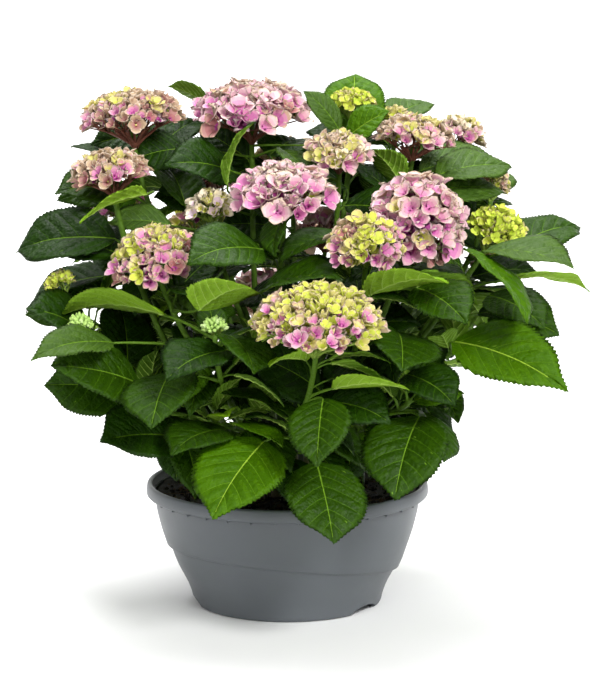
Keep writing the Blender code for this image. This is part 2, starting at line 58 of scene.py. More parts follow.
# Pot and soil
POT_HEIGHT = 130 * MM
RIM_RADIUS = 150 * MM
RIM_BAND = 14 * MM
WALL = 3 * MM
BASE_RADIUS = 94 * MM
BASE_THICK = 12 * MM
BODY_PROFILE = ((3, 100), (22, 106), (43, 118), (62, 124.5), (81, 131), (106, 137))  # z, radius in mm
STEP_MIDDLE = 50 * MM
STEP_SLANT = 17.4 * MM
STEP_HIGH_SIDE = -135
STEP_OUT = 3.5 * MM
STEP_RUN = 3 * MM
NOTCH_BEARINGS = (-35, -168, 77)
NOTCH_HALF_WIDTH = 23 * MM
NOTCH_HEIGHT = 8 * MM
NOTCH_FROM = 74 * MM
SOIL_TOP = 118 * MM

# Canes and shoots
FOOT_SPREAD = 0.31
FORK_SPREAD = 0.43
FORK_HEIGHT = 0.36
CANE_RADII = (5.6 * MM, 4.6 * MM, 4.3 * MM, 4.0 * MM, 3.8 * MM)
CANE_SIDES = 6
STEM_LENGTH = 12 * MM
STEM_RADIUS = 3.8 * MM
SHOOT_RADII = (3.9 * MM, 3.1 * MM)
SHOOT_SIDES = 3
SHOOT_STEPS = 5
SMALL_BLOOM = 22 * MM
BLOOM_FOOT = 0.26
BLOOM_PROFILE = ((0.45, 0.88), (0.82, 0.56), (1.0, 0.08), (0.70, -0.16))  # out, up

# Leaves
LEAF_ROWS = ((0.13, 0.60), (0.40, 1.0), (0.69, 0.78))  # place along the blade, share of its width
LEAF_WIDTH = 0.72
LEAF_ARCH = 0.07
LEAF_FOLD = 0.16
LEAF_THICK = 0.014
LEAF_SIDES = 4
SHORTEST_STALK = 9 * MM
BARE_STALK = 3 * MM
SMALL_SWELL = 0.6
LONGEST_STALK = 100 * MM
PETIOLE = 1.25 * MM
CLEARANCE = 1.6
SHARPEST_BEND = math.radians(85)
ROOT_SPACING = 6 * MM
ROOT_ANGLE = math.radians(70)
ROOT_DROP = 6 * MM
LOWEST_LEAF = 128 * MM
CROWN_MIDDLE = (12, 0)
CROWN_FRONT, CROWN_BACK = 1.12, 1.30
SHADED = 0.52
CROWN_PROFILE = (
    (120, 158),
    (220, 182),
    (270, 218),
    (330, 250),
    (400, 260),
    (480, 228),
    (530, 175),
    (560, 60),
)
SIGHT = Vector((13, -2600, 690)) * MM
SLIDES = (0, 12, -12, 24, -24, 40, -40, 60)
SWINGS = (0, 20, -20, 40, -40, 60, -60)

# Each shoot: x, y, z of its bloom's middle, bloom width, height over width, lean, its bearing and
# the look of the bloom. A width of 0 is a blind shoot, which carries leaves only.
MASSES = {
    "front": (
        (30, -228, 338, 138, 0.45, 12, -85, "opening"),
        (20, -150, 215, 0, 0, 50, -90, ""),
        (-30, -110, 210, 0, 0, 50, -100, ""),
    ),
    "front_left": (
        (-132, -150, 392, 94, 0.54, 28, -110, "turning"),
        (-70, -190, 325, 27, 0.62, 10, -90, "bud"),
        (-75, -145, 225, 0, 0, 45, -115, ""),
    ),
    "front_right": (
        (135, -120, 428, 108, 0.70, 45, -75, "open"),
        (78, -170, 407, 82, 0.60, 30, -90, "turning"),
        (125, -130, 240, 0, 0, 45, -50, ""),
        (75, -95, 205, 0, 0, 50, -70, ""),
    ),
    "left_front": (
        (-178, -90, 470, 86, 0.50, 8, 200, "dusty"),
        (-207, -135, 318, 28, 0.75, 15, 200, "bud"),
        (-150, -90, 230, 0, 0, 45, 210, ""),
    ),
    "middle": (
        (-2, -130, 453, 108, 0.42, 24, -90, "vivid"),
        (-79, -60, 432, 56, 0.60, 10, -120, "lilac"),
        (-30, -105, 285, 0, 0, 40, -100, ""),
    ),
    "left_top": (
        (-163, 0, 520, 114, 0.46, 5, 180, "dusty"),
        (-120, -30, 330, 0, 0, 40, 200, ""),
    ),
    "left_side": (
        (-234, -60, 352, 38, 0.60, 20, 180, "green"),
        (-190, -15, 290, 0, 0, 50, 180, ""),
    ),
    "top_left": (
        (-37, 10, 526, 132, 0.42, 12, -90, "open"),
        (-94, 128, 438, 90, 0.50, 20, 115, "open"),
    ),
    "top_right": (
        (54, -40, 485, 74, 0.50, 20, -90, "fresh"),
        (68, 50, 530, 56, 0.50, 5, 90, "green"),
        (85, -60, 350, 0, 0, 40, -50, ""),
    ),
    "right_top": (
        (133, 0, 499, 88, 0.50, 5, 0, "fresh"),
        (186, 90, 495, 62, 0.62, 10, 30, "fresh"),
        (116, 110, 512, 34, 0.60, 5, 90, "tan"),
    ),
    "right_side": (
        (221, -20, 402, 70, 0.68, 32, -15, "green"),
        (222, 60, 444, 38, 1.0, 12, 20, "tan"),
        (175, -55, 280, 0, 0, 50, -20, ""),
    ),
    "back_right": (
        (150, 185, 395, 84, 0.52, 25, 50, "open"),
        (225, 130, 345, 60, 0.55, 30, 30, "turning"),
        (130, 125, 240, 0, 0, 50, 45, ""),
    ),
    "back": (
        (5, 140, 460, 95, 0.50, 15, 90, "fresh"),
        (45, 220, 375, 90, 0.52, 35, 80, "vivid"),
        (15, 165, 235, 0, 0, 50, 90, ""),
    ),
    "back_left": (
        (-95, 200, 385, 95, 0.52, 30, 115, "opening"),
        (-30, 245, 300, 84, 0.50, 45, 95, "open"),
        (-105, 130, 235, 0, 0, 50, 130, ""),
    ),
    "left_back": (
        (-190, 110, 410, 80, 0.50, 25, 150, "turning"),
        (-175, 75, 270, 0, 0, 50, 155, ""),
    ),
}

# The large leaves that shape the front and the outline: x, y, z of the heel and then
# bearing, rise, length and roll of the blade, in mm and degrees, its width in hundredths of its
# length, and its shade, partly painted light and shade as the tones of SHADES are.
LEADING_LEAVES = (
    # left
    (-175, -60, 395, 168, -7, 112, -34, 76, "dark"),
    (-190, -10, 350, 165, -20, 100, -20, 72, "dark"),
    (-194, -70, 287, -150, 30, 104, -40, 78, "dark"),
    (-120, -150, 329, 155, 0, 120, 25, 64, "lime"),
    (-176, -110, 295, -138, 0, 100, -28, 46, "grey"),
    (-151, -95, 250, -150, 15, 114, -45, 76, "mid"),
    (-113, -120, 200, -140, 5, 95, -40, 80, "dark"),
    (-164, -60, 442, -140, 6, 80, -38, 72, "mid"),
    (-140, -110, 446, -140, -15, 85, 30, 54, "lime"),
    (-165, -60, 265, 100, 35, 90, 20, 72, "dark"),
    # front
    (-114, -170, 275, -100, -25, 90, 10, 84, "mid"),
    (-60, -130, 210, -140, -5, 84, -10, 80, "mid"),
    (-22, -170, 206, -120, -30, 114, -15, 78, "bright"),
    (-60, -160, 295, -135, -10, 80, -15, 84, "dark"),
    (-55, -190, 315, -80, -20, 70, -15, 88, "mid"),
    (35, -170, 255, -150, 30, 90, -50, 80, "dark"),
    (20, -215, 295, -140, 5, 60, 20, 72, "lime"),
    (45, -205, 265, -30, 5, 85, -20, 72, "lime"),
    (40, -195, 250, -40, -5, 80, 35, 72, "dark"),
    (36, -205, 255, -95, -38, 85, 5, 72, "mid"),
    (30, -175, 185, -80, -40, 100, 0, 80, "mid"),
    (133, -150, 227, -110, -35, 105, 0, 82, "mid"),
    (110, -170, 315, -90, -15, 90, -20, 86, "mid"),
    (120, -150, 270, -50, -15, 70, 20, 80, "dark"),
    (139, -100, 222, -70, -35, 70, -30, 80, "mid"),
    (80, -160, 350, -40, 15, 105, -15, 72, "lime"),
    (130, -140, 355, -55, -15, 85, 20, 72, "mid"),
    # right
    (170, -90, 293, -35, -13, 140, 30, 60, "bright"),
    (209, -40, 334, -50, -15, 84, 20, 72, "mid"),
    (180, -100, 390, -60, -35, 110, -20, 66, "bright"),
    (205, -40, 380, -35, -5, 103, 10, 76, "grey"),
    (225, -10, 345, 20, -5, 105, -10, 52, "lime"),
    (230, 20, 371, 30, 14, 105, 16, 66, "mid"),
    (140, 45, 455, 25, 5, 95, 20, 80, "grey"),
    (155, -10, 455, 35, 5, 90, 20, 76, "grey"),
    (150, -15, 438, 25, 0, 88, 28, 72, "grey"),
    # top
    (70, 66, 490, 85, 58, 80, 0, 84, "bright"),
    (56, 32, 498, -170, 50, 60, -60, 50, "grey"),
    (61, -8, 493, -12, 32, 58, 55, 70, "bright"),
    (105, 90, 504, 40, 15, 75, 15, 72, "grey"),
    (-80, 75, 519, 155, 25, 60, 40, 72, "bright"),
    (-145, 30, 470, 40, 30, 85, 10, 72, "dark"),
    (-184, 40, 468, 150, 15, 58, 0, 72, "dark"),
    (-105, -30, 425, 125, 30, 85, 15, 72, "mid"),
    (-55, -20, 460, -145, 10, 85, -45, 72, "dark"),
    (-61, -75, 452, -35, 66, 76, 25, 60, "mid"),
    (-5, -45, 485, -60, -25, 75, -10, 72, "grey"),
    (-118, -55, 408, -170, 5, 65, -30, 72, "grey"),
    (-25, -150, 395, -140, 0, 90, -30, 80, "mid"),
    (60, -140, 410, -140, -15, 80, -5, 72, "mid"),
    (-86, -190, 340, -40, 25, 75, -20, 94, "lime"),
    (-25, -130, 350, -35, 15, 100, 20, 72, "mid"),
    # within: dark, as painted shade inside the crown
    (60, -20, 425, -20, -5, 70, 40, 70, "dark"),
    (62, 10, 440, -150, 10, 70, -20, 74, "dark"),
    (105, 40, 452, -35, -10, 80, 20, 74, "dark"),
    (-55, 30, 485, -160, -5, 80, 10, 76, "dark"),
    (-100, 30, 430, 160, 5, 85, 20, 76, "dark"),
    (-40, 25, 468, 160, 30, 66, -50, 78, "dark"),
    (195, 20, 345, -10, 5, 75, 25, 74, "dark"),
    (200, -10, 310, -20, 0, 75, 20, 76, "dark"),
    (-75, -10, 425, -175, 10, 68, -40, 80, "dark"),
    (180, 60, 430, 40, 10, 90, 25, 76, "grey"),
    (-20, 60, 470, 60, 10, 80, 10, 76, "dark"),
    (35, 70, 450, 100, 15, 85, 0, 76, "dark"),
    (-45, -60, 330, -60, 15, 80, 30, 78, "dark"),
    (60, -70, 300, -20, 10, 80, 30, 78, "dark"),
    (119, -14, 447, -170, 50, 50, 35, 90, "mid"),
)

# Leaves behind the leading ones, which the solids leave out. Most are dark: painted shade where the inside of
# the crown shows.
FILLING_LEAVES = (
    (-162, -75, 238, -159, 10, 92, -58, 78, "mid"),
    (-124, -60, 194, -139, -13, 84, -52, 90, "mid"),
    (42, 60, 508, -168, -8, 78, -45, 84, "dark"),
    (-144, 55, 492, -164, -6, 72, -50, 66, "dark"),
    (-108, 60, 478, -160, -8, 60, -50, 84, "dark"),
    (-100, 45, 425, -150, -3, 66, -50, 84, "dark"),
    (-180, 20, 329, -150, 4, 66, -50, 70, "mid"),
    (-160, 20, 431, -146, 2, 92, -45, 60, "mid"),
    (-220, -30, 310, -165, 6, 54, -45, 66, "mid"),
    (138, -40, 152, -40, -5, 60, 50, 84, "dark"),
    (176, 60, 392, 31, -10, 60, 50, 90, "dark"),
    (214, 20, 305, -20, -6, 84, 45, 80, "mid"),
    (-22, 60, 462, -134, -11, 62, -40, 80, "dark"),
    (200, 60, 402, 170, 30, 62, -50, 90, "dark"),
    (58, 60, 438, 175, 15, 62, -50, 90, "dark"),
    (-15, 60, 394, -160, 6, 60, -50, 90, "dark"),
)

# Kinds of leaf that grow in pairs. "blooms" is the least and greatest radius of the bloom on the
# shoots that have them. "down" is the first pair's place down the shoot in mm, with a share of the
# bloom's radius. "turn" and "even" spread the pairs, "sinks" is how much lower each further pair
# hangs, and "sizes" has the ranges of one leaf's own sizes in the order in which they are drawn.
LARGE_LEAVES = {
    "blooms": (0, 1),
    "down": (20, 0.2),
    "spacing": 38,
    "pairs": 9,
    "most": 165,
    "turn": 12,
    "even": (0.8, 1.15),
    "sinks": 7,
    "slim": 0.96,
    "shrinks": (1, 0.82, 0.66),
    "shades": (),
    "sizes": {
        "length": (90, 124),
        "rise": (-5, 25),
        "sag": (0.05, 0.30),
        "roll": (-25, 25),
        "stalk": (16, 30),
    },
}


def small_leaves(blooms, first, spacing, pairs, shades, length, stalk, rise):
    """A kind of leaf that the solids leave out, put wherever its blade has room."""
    return {
        "blooms": blooms,
        "down": (first, 0.22),
        "spacing": spacing,
        "pairs": pairs,
        "most": 210,
        "turn": 15,
        "even": (0.85, 1.15),
        "sinks": 0,
        "slim": 1,
        "shrinks": (1, 0.75),
        "shades": shades,
        "sizes": {"length": length, "stalk": stalk, "rise": rise, "sag": (0.0, 0.2), "roll": (-30, 30)},
    }


COLLAR = small_leaves((SMALL_BLOOM, 1), 5, 14, 1, ("mid", "bright", "lime"), (46, 70), (8, 16), (-20, 15))
ROSETTE = small_leaves((0, 0), 1, 8, 2, ("bright", "lime", "mid"), (34, 62), (5, 12), (10, 55))
# Inner leaves are dealt mostly the dark shade, which is painted shade within the crown.
INNER = small_leaves((0, 1), 22, 17, 10, ("dark", "dark", "dark", "mid"), (58, 96), (12, 28), (-15, 25))


# ---------------------------------------------------------------- limbs and leaves, by the source's rule


def direction(bearing, rise):
    """Unit vector at a bearing round +Z, counted from +X, and a rise above the horizon, in degrees."""
    b, r = math.radians(bearing), math.radians(rise)
    return Vector((math.cos(b) * math.cos(r), math.sin(b) * math.cos(r), math.sin(r)))


def across(along):
    """Two unit vectors square to this one and to each other, the second as near to +Z as can be."""
    side = along.cross(UP)
    if side.length < 1e-6:
        side = Vector((1, 0, 0))
    side.normalize()
    return side, side.cross(along).normalized()


def curve(start, start_way, end, end_way, steps):
    """Points of a cubic curve that leaves start along start_way and arrives at end along end_way."""
    reach = (end - start).length / 3
    a, b = start + start_way * reach, end - end_way * reach
    points = []
    for k in range(steps + 1):
        t = k / steps
        s = 1 - t
        points.append(start * s**3 + a * (3 * s * s * t) + b * (3 * s * t * t) + end * t**3)
    return points


def spoke_at(side, over, angle):
    """The way out from an axis at an angle between its two sides."""
    return side * math.cos(angle) + over * math.sin(angle)


def loft(rings, tip=None, start=None):
    """A closed body through rings of equal count, with a flat cap or a point at each end."""
    verts = [p for ring in rings for p in ring]
    n = len(rings[0])
    last = len(verts) - n
    around = [(i, (i + 1) % n) for i in range(n)]
    faces = []
    if start is None:
        faces.append(tuple(range(n)))
    for low in range(0, last, n):
        for i, j in around:
            faces.append((low + j, low + i, low + i + n))
            faces.append((low + j, low + i + n, low + j + n))
    if tip is None:
        faces.append(tuple(last + i for i in reversed(range(n))))
    for point, at, flip in ((tip, last, 1), (start, 0, -1)):
        if point is not None:
            faces += [(at + j, at + i, len(verts))[::flip] for i, j in around]
            verts.append(point)
    return verts, faces


def limb_rings(path, radius_of, sides, turn=0.0):
    """Rings round a path. radius_of gives a ring's radius at a share of the path and an angle."""
    rings = []
    side, over = across((path[1] - path[0]).normalized())
    for k, point in enumerate(path):
        ahead = path[min(k + 1, len(path) - 1)] - path[max(k - 1, 0)]
        if k == 0:
            ahead = path[1] - path[0]
        ahead.normalize()
        side = (side - ahead * side.dot(ahead)).normalized()
        over = side.cross(ahead)
        ring = []
        for i in range(sides):
            angle = 2 * math.pi * i / sides + turn
            radius = radius_of(k / (len(path) - 1), angle)
            ring.append(point + side * radius * math.cos(angle) + over * radius * math.sin(angle))
        rings.append(ring)
    return rings


def tapered(radii):
    """Radius along a limb, dealt evenly from those given."""

    def radius_of(share, angle):
        place = share * (len(radii) - 1)
        low = min(int(place), len(radii) - 2)
        return radii[low] + (radii[low + 1] - radii[low]) * (place - low)

    return radius_of


def tube(path, radii, sides, turn=0.0):
    return loft(limb_rings(path, tapered(radii), sides, turn))


def bloom(origin, axis, radius, height, draw):
    """A flat-bottomed dome: knobbly rings round the axis between two end points."""
    side, over = across(axis)
    segments = 12 if radius > SMALL_BLOOM else 8
    rings = []
    for k, (out, up) in enumerate(BLOOM_PROFILE):
        ring = []
        for i in range(segments):
            swell = 1 + draw.uniform(-0.05, 0.05)
            spoke = spoke_at(side, over, 2 * math.pi * (i + 0.5 * (k % 2)) / segments)
            ring.append(origin + spoke * radius * out * swell + axis * height * up * swell)
        rings.append(ring)
    return loft(rings, origin - axis * radius * BLOOM_FOOT, origin + axis * height)


def blade_axes(leaf):
    """Chord, side and normal of a leaf's blade."""
    chord = (leaf["tip"] - leaf["heel"]).normalized()
    side, normal = across(chord)
    roll = math.radians(leaf["roll"])
    facing = normal * math.cos(roll) + side * math.sin(roll)
    return chord, chord.cross(facing).normalized(), facing.normalized()


def leaf_solid(leaf, swell=1.0):
    """The plain leaf of the solids: four-sided rings that widen into an arched, folded blade."""
    chord, side, normal = blade_axes(leaf)
    root, heel = leaf["root"], leaf["heel"]
    length = (leaf["tip"] - heel).length
    stalk = (heel - root).normalized()
    bend = (stalk + chord).normalized()
    thick = LEAF_THICK * length * swell / 2
    stem = PETIOLE * swell
    rings = []

    def add_ring(centre, half, over, level, lift):
        edges = [centre + level * (sign * half) + normal * lift for sign in (-1, 1)]
        rings.append([edges[0], centre + over, edges[1], centre - over])

    for centre, way in ((root, stalk), (heel, bend)):
        level = (side - way * side.dot(way)).normalized()
        add_ring(centre, stem, level.cross(way) * stem, level, 0)
    for place, share in LEAF_ROWS:
        lift = LEAF_ARCH * length * 4 * place * (1 - place)
        centre = heel + chord * place * length + normal * lift
        half = leaf["width"] * share / 2 * (1 + 0.04 * (swell - 1))
        add_ring(centre, half, normal * thick, side, LEAF_FOLD * half)
    return loft(rings, leaf["tip"])


def radius_at(profile, z):
    """Radius at a height, in metres, from pairs of height and radius in mm."""
    for (z0, r0), (z1, r1) in zip(profile, profile[1:]):
        if z <= z1 * MM:
            share = max(z / MM - z0, 0) / (z1 - z0)
            return (r0 + (r1 - r0) * share) * MM
    return profile[-1][1] * MM


def crown_share(point):
    """How far out a point lies, as a share of the crown's reach at its height."""
    x, y = point.x - CROWN_MIDDLE[0] * MM, point.y - CROWN_MIDDLE[1] * MM
    return math.hypot(x, y / (CROWN_FRONT if y < 0 else CROWN_BACK)) / radius_at(CROWN_PROFILE, point.z)


def in_crown(point):
    return crown_share(point) < 1 and point.z > LOWEST_LEAF


class Piece:
    """A closed mesh with the box and the tree that tell whether another one touches it."""

    def __init__(self, verts, faces, kind, mass):
        self.verts, self.faces, self.kind, self.mass = verts, faces, kind, mass
        self.low = Vector([min(v[i] for v in verts) for i in range(3)])
        self.high = Vector([max(v[i] for v in verts) for i in range(3)])
        self.tree = BVHTree.FromPolygons(verts, faces)

    def touches(self, other):
        for i in range(3):
            if self.low[i] > other.high[i] or other.low[i] > self.high[i]:
                return False
        return bool(self.tree.overlap(other.tree))


def shoot_end(row):
    """Foot point and axis of a shoot's bloom, and the bloom's radius and height."""
    x, y, z, width, ratio, lean, bearing = row[:7]
    axis = direction(bearing, 90 - lean)
    radius = width * MM / 2
    height = max(ratio * width * MM - BLOOM_FOOT * radius, 0.5 * radius)
    middle = Vector((x, y, z)) * MM
    return middle - axis * (height - BLOOM_FOOT * radius) / 2, axis, radius, height


def plan_limbs():
    """Cane path, stem path and shoots of every mass, each with the ends that its curve runs between."""
    plan = {}
    for name, rows in MASSES.items():
        mean = sum((Vector(row[:3]) for row in rows), Vector()) / len(rows) * MM
        foot = Vector((mean.x * FOOT_SPREAD, mean.y * FOOT_SPREAD, SOIL_TOP + GAP))
        rise = (mean.z - SOIL_TOP) * FORK_HEIGHT
        fork = Vector((mean.x * FORK_SPREAD, mean.y * FORK_SPREAD, SOIL_TOP + rise))
        way = (mean - fork).normalized()
        cane_ends = (foot, UP, fork - way * STEM_LENGTH, way)
        cane = curve(*cane_ends, 3) + [fork - way * GAP / 2]
        base = fork + way * GAP / 2
        stem = [base, base + way * STEM_LENGTH / 2, base + way * STEM_LENGTH]
        shoots = []
        for k, row in enumerate(rows):
            origin, axis, radius, height = shoot_end(row)
            end = origin - axis * radius * 0.1
            start = base + way * STEM_LENGTH * (0.78 - 0.12 * k)
            leave = (way + (end - start).normalized() * 0.8).normalized()
            bloom_size = {"origin": origin, "axis": axis, "radius": radius, "height": height}
            ends = (start, leave, end, axis)
            path = curve(*ends, SHOOT_STEPS)
            shoots.append({"path": path, "ends": ends, "bloom": bloom_size, "look": row[7]})
        plan[name] = {"cane": cane, "cane_ends": cane_ends, "stem": stem, "shoots": shoots}
    return plan


def along(path, distance_from_end):
    """The point this far back from a path's end, and the path's way there."""
    left = distance_from_end
    for k in range(len(path) - 1, 0, -1):
        step = path[k] - path[k - 1]
        if left <= step.length:
            return path[k] - step.normalized() * left, step.normalized()
        left -= step.length
    return None, None


def nearest(path, point):
    """The nearest place on a path that lies below the point, as (distance, place)."""
    best = (1e9, None)
    for k in range(len(path) - 1):
        for t in (0.0, 0.25, 0.5, 0.75):
            place = path[k].lerp(path[k + 1], t)
            if place.z < point.z - ROOT_DROP:
                best = min(best, ((place - point).length, tuple(place)))
    return best[0], best[1] and Vector(best[1])


class Plant:
    """Grows the pieces, each tested against all that stand already."""

    def __init__(self):
        self.draw = random.Random(SEED)
        self.plan = plan_limbs()
        self.pieces = []
        self.leaves = []
        for name, parts in self.plan.items():
            self.add(tube(parts["cane"], CANE_RADII, CANE_SIDES), "cane", name)
            self.add(tube(parts["stem"], (STEM_RADIUS, STEM_RADIUS * 0.9), CANE_SIDES), "stem", name)
            for k, shoot in enumerate(parts["shoots"]):
                self.add(tube(shoot["path"], SHOOT_RADII, SHOOT_SIDES, 0.5 * k), "shoot", name)
                if shoot["bloom"]["radius"]:
                    self.add(bloom(draw=self.draw, **shoot["bloom"]), "bloom", name)
        for row in LEADING_LEAVES:
            self.lead_leaf(row)
        shown = [piece for piece in self.pieces if piece.kind in ("bloom", "leaf")]
        self.front = self.joined_tree(shown)
        self.pairs(LARGE_LEAVES)
        for row in FILLING_LEAVES:
            self.lead_leaf(row, small=True)
        self.draw = random.Random(SEED + 1)
        for kind in (COLLAR, ROSETTE, INNER):
            self.pairs(kind)

    def add(self, mesh, kind, mass):
        self.pieces.append(Piece(mesh[0], mesh[1], kind, mass))

    def joined_tree(self, pieces):
        verts, faces = [], []
        for piece in pieces:
            start = len(verts)
            verts += piece.verts
            faces += [tuple(i + start for i in face) for face in piece.faces]
        return BVHTree.FromPolygons(verts, faces)

    def crowded(self, leaf):
        """True where the stalk leaves its shoot too near to another stalk."""
        stalk = leaf["heel"] - leaf["root"]
        for other in self.leaves:
            if (other["root"] - leaf["root"]).length < ROOT_SPACING:
                if stalk.angle(other["heel"] - other["root"]) < ROOT_ANGLE:
                    return True
        return False

    def bare(self, leaf, swell):
        """The leaf's blade with only the last of its stalk."""
        back = (leaf["root"] - leaf["heel"]).normalized() * BARE_STALK
        return Piece(*leaf_solid(dict(leaf, root=leaf["heel"] + back), swell), "leaf", "")

    def free(self, leaf, mass):
        """True where the leaf, a little swollen, touches nothing but the shoots of its own mass."""
        trial = Piece(*leaf_solid(leaf, CLEARANCE), "leaf", mass)
        blade = self.bare(leaf, CLEARANCE)
        for piece in self.pieces:
            own_limb = piece.mass == mass and piece.kind in ("shoot", "stem")
            if (blade if own_limb else trial).touches(piece):
                return False
        return True

    def room_for(self, leaf):
        """True where a small leaf's bare blade meets no other leaf or bloom."""
        blade = self.bare(leaf, SMALL_SWELL)
        return not any(piece.kind in ("leaf", "bloom") and blade.touches(piece) for piece in self.pieces)

    def keep(self, leaf, mass, shade):
        leaf["mass"] = mass
        leaf["shade"] = shade
        self.leaves.append(leaf)
        self.add(leaf_solid(leaf), "leaf", mass)

    def lead_leaf(self, row, small=False):
        x, y, z, bearing, rise, length, roll, width, shade = row
        heel = Vector((x, y, z)) * MM
        for slide, swing in ((s, w) for s in SLIDES for w in (0, 12, -12)):
            moved = heel + (heel - SIGHT) / -SIGHT.y * slide * MM
            blade = direction(bearing + swing, rise) * length * MM
            roots = []
            for name, parts in self.plan.items():
                for shoot in parts["shoots"]:
                    distance, place = nearest(shoot["path"], moved)
                    if place and distance > SHORTEST_STALK and (moved - place).angle(blade) < SHARPEST_BEND:
                        roots.append((distance, name, place))
            roots.sort(key=lambda entry: entry[0])
            for distance, name, place in roots[:5]:
                leaf = {
                    "root": place,
                    "heel": moved,
                    "tip": moved + blade,
                    "roll": roll,
                    "width": length * MM * width / 100,
                }
                if distance > LONGEST_STALK or self.crowded(leaf):
                    continue
                if self.room_for(leaf) if small else self.free(leaf, name):
                    self.keep(leaf, name, shade)
                    return

    def hides_front(self, leaf):
        """True where the leaf hangs before a bloom or a leading leaf, for a viewer at SIGHT."""
        verts, faces = leaf_solid(leaf)
        middles = [sum((verts[i] for i in face), Vector()) / len(face) for face in faces]
        points = verts[LEAF_SIDES:] + middles[2 * LEAF_SIDES :]
        for point in points:
            if self.front.ray_cast(point, (point - SIGHT).normalized(), 0.5)[0]:
                return True
        return False

    def pairs(self, kind):
        """The uppermost pair of every shoot that has this kind, then the next of each, and so on down."""
        most = kind["most"] + (len(self.leaves) if kind["shades"] else 0)
        least, greatest = kind["blooms"]
        first, share = kind["down"]
        states = []
        for name, parts in self.plan.items():
            for shoot in parts["shoots"]:
                radius = shoot["bloom"]["radius"]
                if least <= radius <= greatest:
                    turn = self.draw.uniform(0, 180)
                    states.append([name, shoot["path"], turn, first * MM + radius * share])
        for pair in range(kind["pairs"]):
            for state in states:
                name, path, turn, back = state
                node, way = along(path, back)
                if node is None or len(self.leaves) >= most:
                    continue
                for half in (0, 180):
                    self.grow(kind, name, node, way, turn + half, pair)
                state[2] += 90 + self.draw.uniform(-kind["turn"], kind["turn"])
                state[3] += kind["spacing"] * MM * self.draw.uniform(*kind["even"])

    def grow(self, kind, name, node, way, turn, pair):
        """One leaf of a pair, swung and shortened until it fits. It sags, the lower the more."""
        shade = self.draw.choice(kind["shades"]) if kind["shades"] else ""
        drawn = {size: self.draw.uniform(*span) for size, span in kind["sizes"].items()}
        length, stalk, sag = drawn["length"] * MM, drawn["stalk"] * MM, UP * drawn["sag"]
        rise = math.radians(drawn["rise"] - kind["sinks"] * pair)
        side, over = across(way)
        if not shade and len(self.leaves) >= kind["most"]:
            return
        for swing, shrink in ((w, k) for w in SWINGS for k in kind["shrinks"]):
            spoke = spoke_at(side, over, math.radians(turn + swing))
            heel = node + (spoke * 0.8 + way * 0.6) * stalk
            blade = (spoke * math.cos(rise) + way * math.sin(rise) - sag).normalized() * length * shrink
            leaf = {
                "root": node,
                "heel": heel,
                "tip": heel + blade,
                "roll": drawn["roll"],
                "width": length * shrink * LEAF_WIDTH * kind["slim"],
            }
            inside = all(map(in_crown, leaf_solid(leaf)[0][2 * LEAF_SIDES :]))
            if not inside or self.hides_front(leaf):
                continue
            if self.room_for(leaf) if shade else self.stands(leaf, name):
                self.keep(leaf, name, shade)
                return

    def stands(self, leaf, name):
        """True where a large leaf reaches out to the light, clear of all others."""
        return crown_share(leaf["tip"]) >= SHADED and not self.crowded(leaf) and self.free(leaf, name)


# ---------------------------------------------------------------- joined meshes


def placed(name, data):
    """A new object in the scene's collection."""
    made = bpy.data.objects.new(name, data)
    bpy.context.scene.collection.objects.link(made)
    return made


class Heap:
    """Triangles of one joined piece, each with a tone, gathered shape by shape."""

    def __init__(self):
        self.points, self.faces, self.tones = [], [], []
        self.count = 0

    def add(self, points, faces, tones):
        """Adds a shape: points (n, 3), triangles (m, 3) and a tone's name, or one for each triangle."""
        self.points.append(np.asarray(points, float))
        self.faces.append(np.asarray(faces, int) + self.count)
        if isinstance(tones, str):
            tones = [tones] * len(faces)
        self.tones += list(tones)
        self.count += len(points)

    def add_body(self, verts, faces, tone):
        """Adds a closed body of Vectors and polygons."""
        points, triangles = outward(verts, faces)
        self.add(points, triangles, tone)


def outward(verts, faces):
    """Points and triangles of a closed body, the triangles turned so that they face out of it."""
    points = np.array([tuple(v) for v in verts])
    fans = np.array([(f[0], f[k], f[k + 1]) for f in faces for k in range(1, len(f) - 1)])
    a, b, c = (points[fans[:, k]] - points.mean(axis=0) for k in range(3))
    volume = np.einsum("ij,ij->", a, np.cross(b, c))
    return points, fans if volume > 0 else fans[:, ::-1]


def mesh_piece(name, heap, materials, nodes, smooth=True):
    """One object from a heap. It rides with the part, stands for the named nodes and has the tones used."""
    points = np.concatenate(heap.points).astype(np.float32)
    faces = np.concatenate(heap.faces).astype(np.int32)
    used = sorted(set(heap.tones))
    place = {tone: k for k, tone in enumerate(used)}
    mesh = bpy.data.meshes.new(name)
    mesh.vertices.add(len(points))
    mesh.vertices.foreach_set("co", points.ravel())
    mesh.loops.add(len(faces) * 3)
    mesh.loops.foreach_set("vertex_index", faces.ravel())
    mesh.polygons.add(len(faces))
    mesh.polygons.foreach_set("loop_start", np.arange(0, len(faces) * 3, 3, dtype=np.int32))
    mesh.polygons.foreach_set("material_index", [place[tone] for tone in heap.tones])
    mesh.polygons.foreach_set("use_smooth", [smooth] * len(faces))
    mesh.update(calc_edges=True)
    for tone in used:
        mesh.materials.append(materials[tone])
    piece = placed(name, mesh)
    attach(piece, "root")
    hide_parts(*nodes)
    return piece


# ---------------------------------------------------------------- leaves

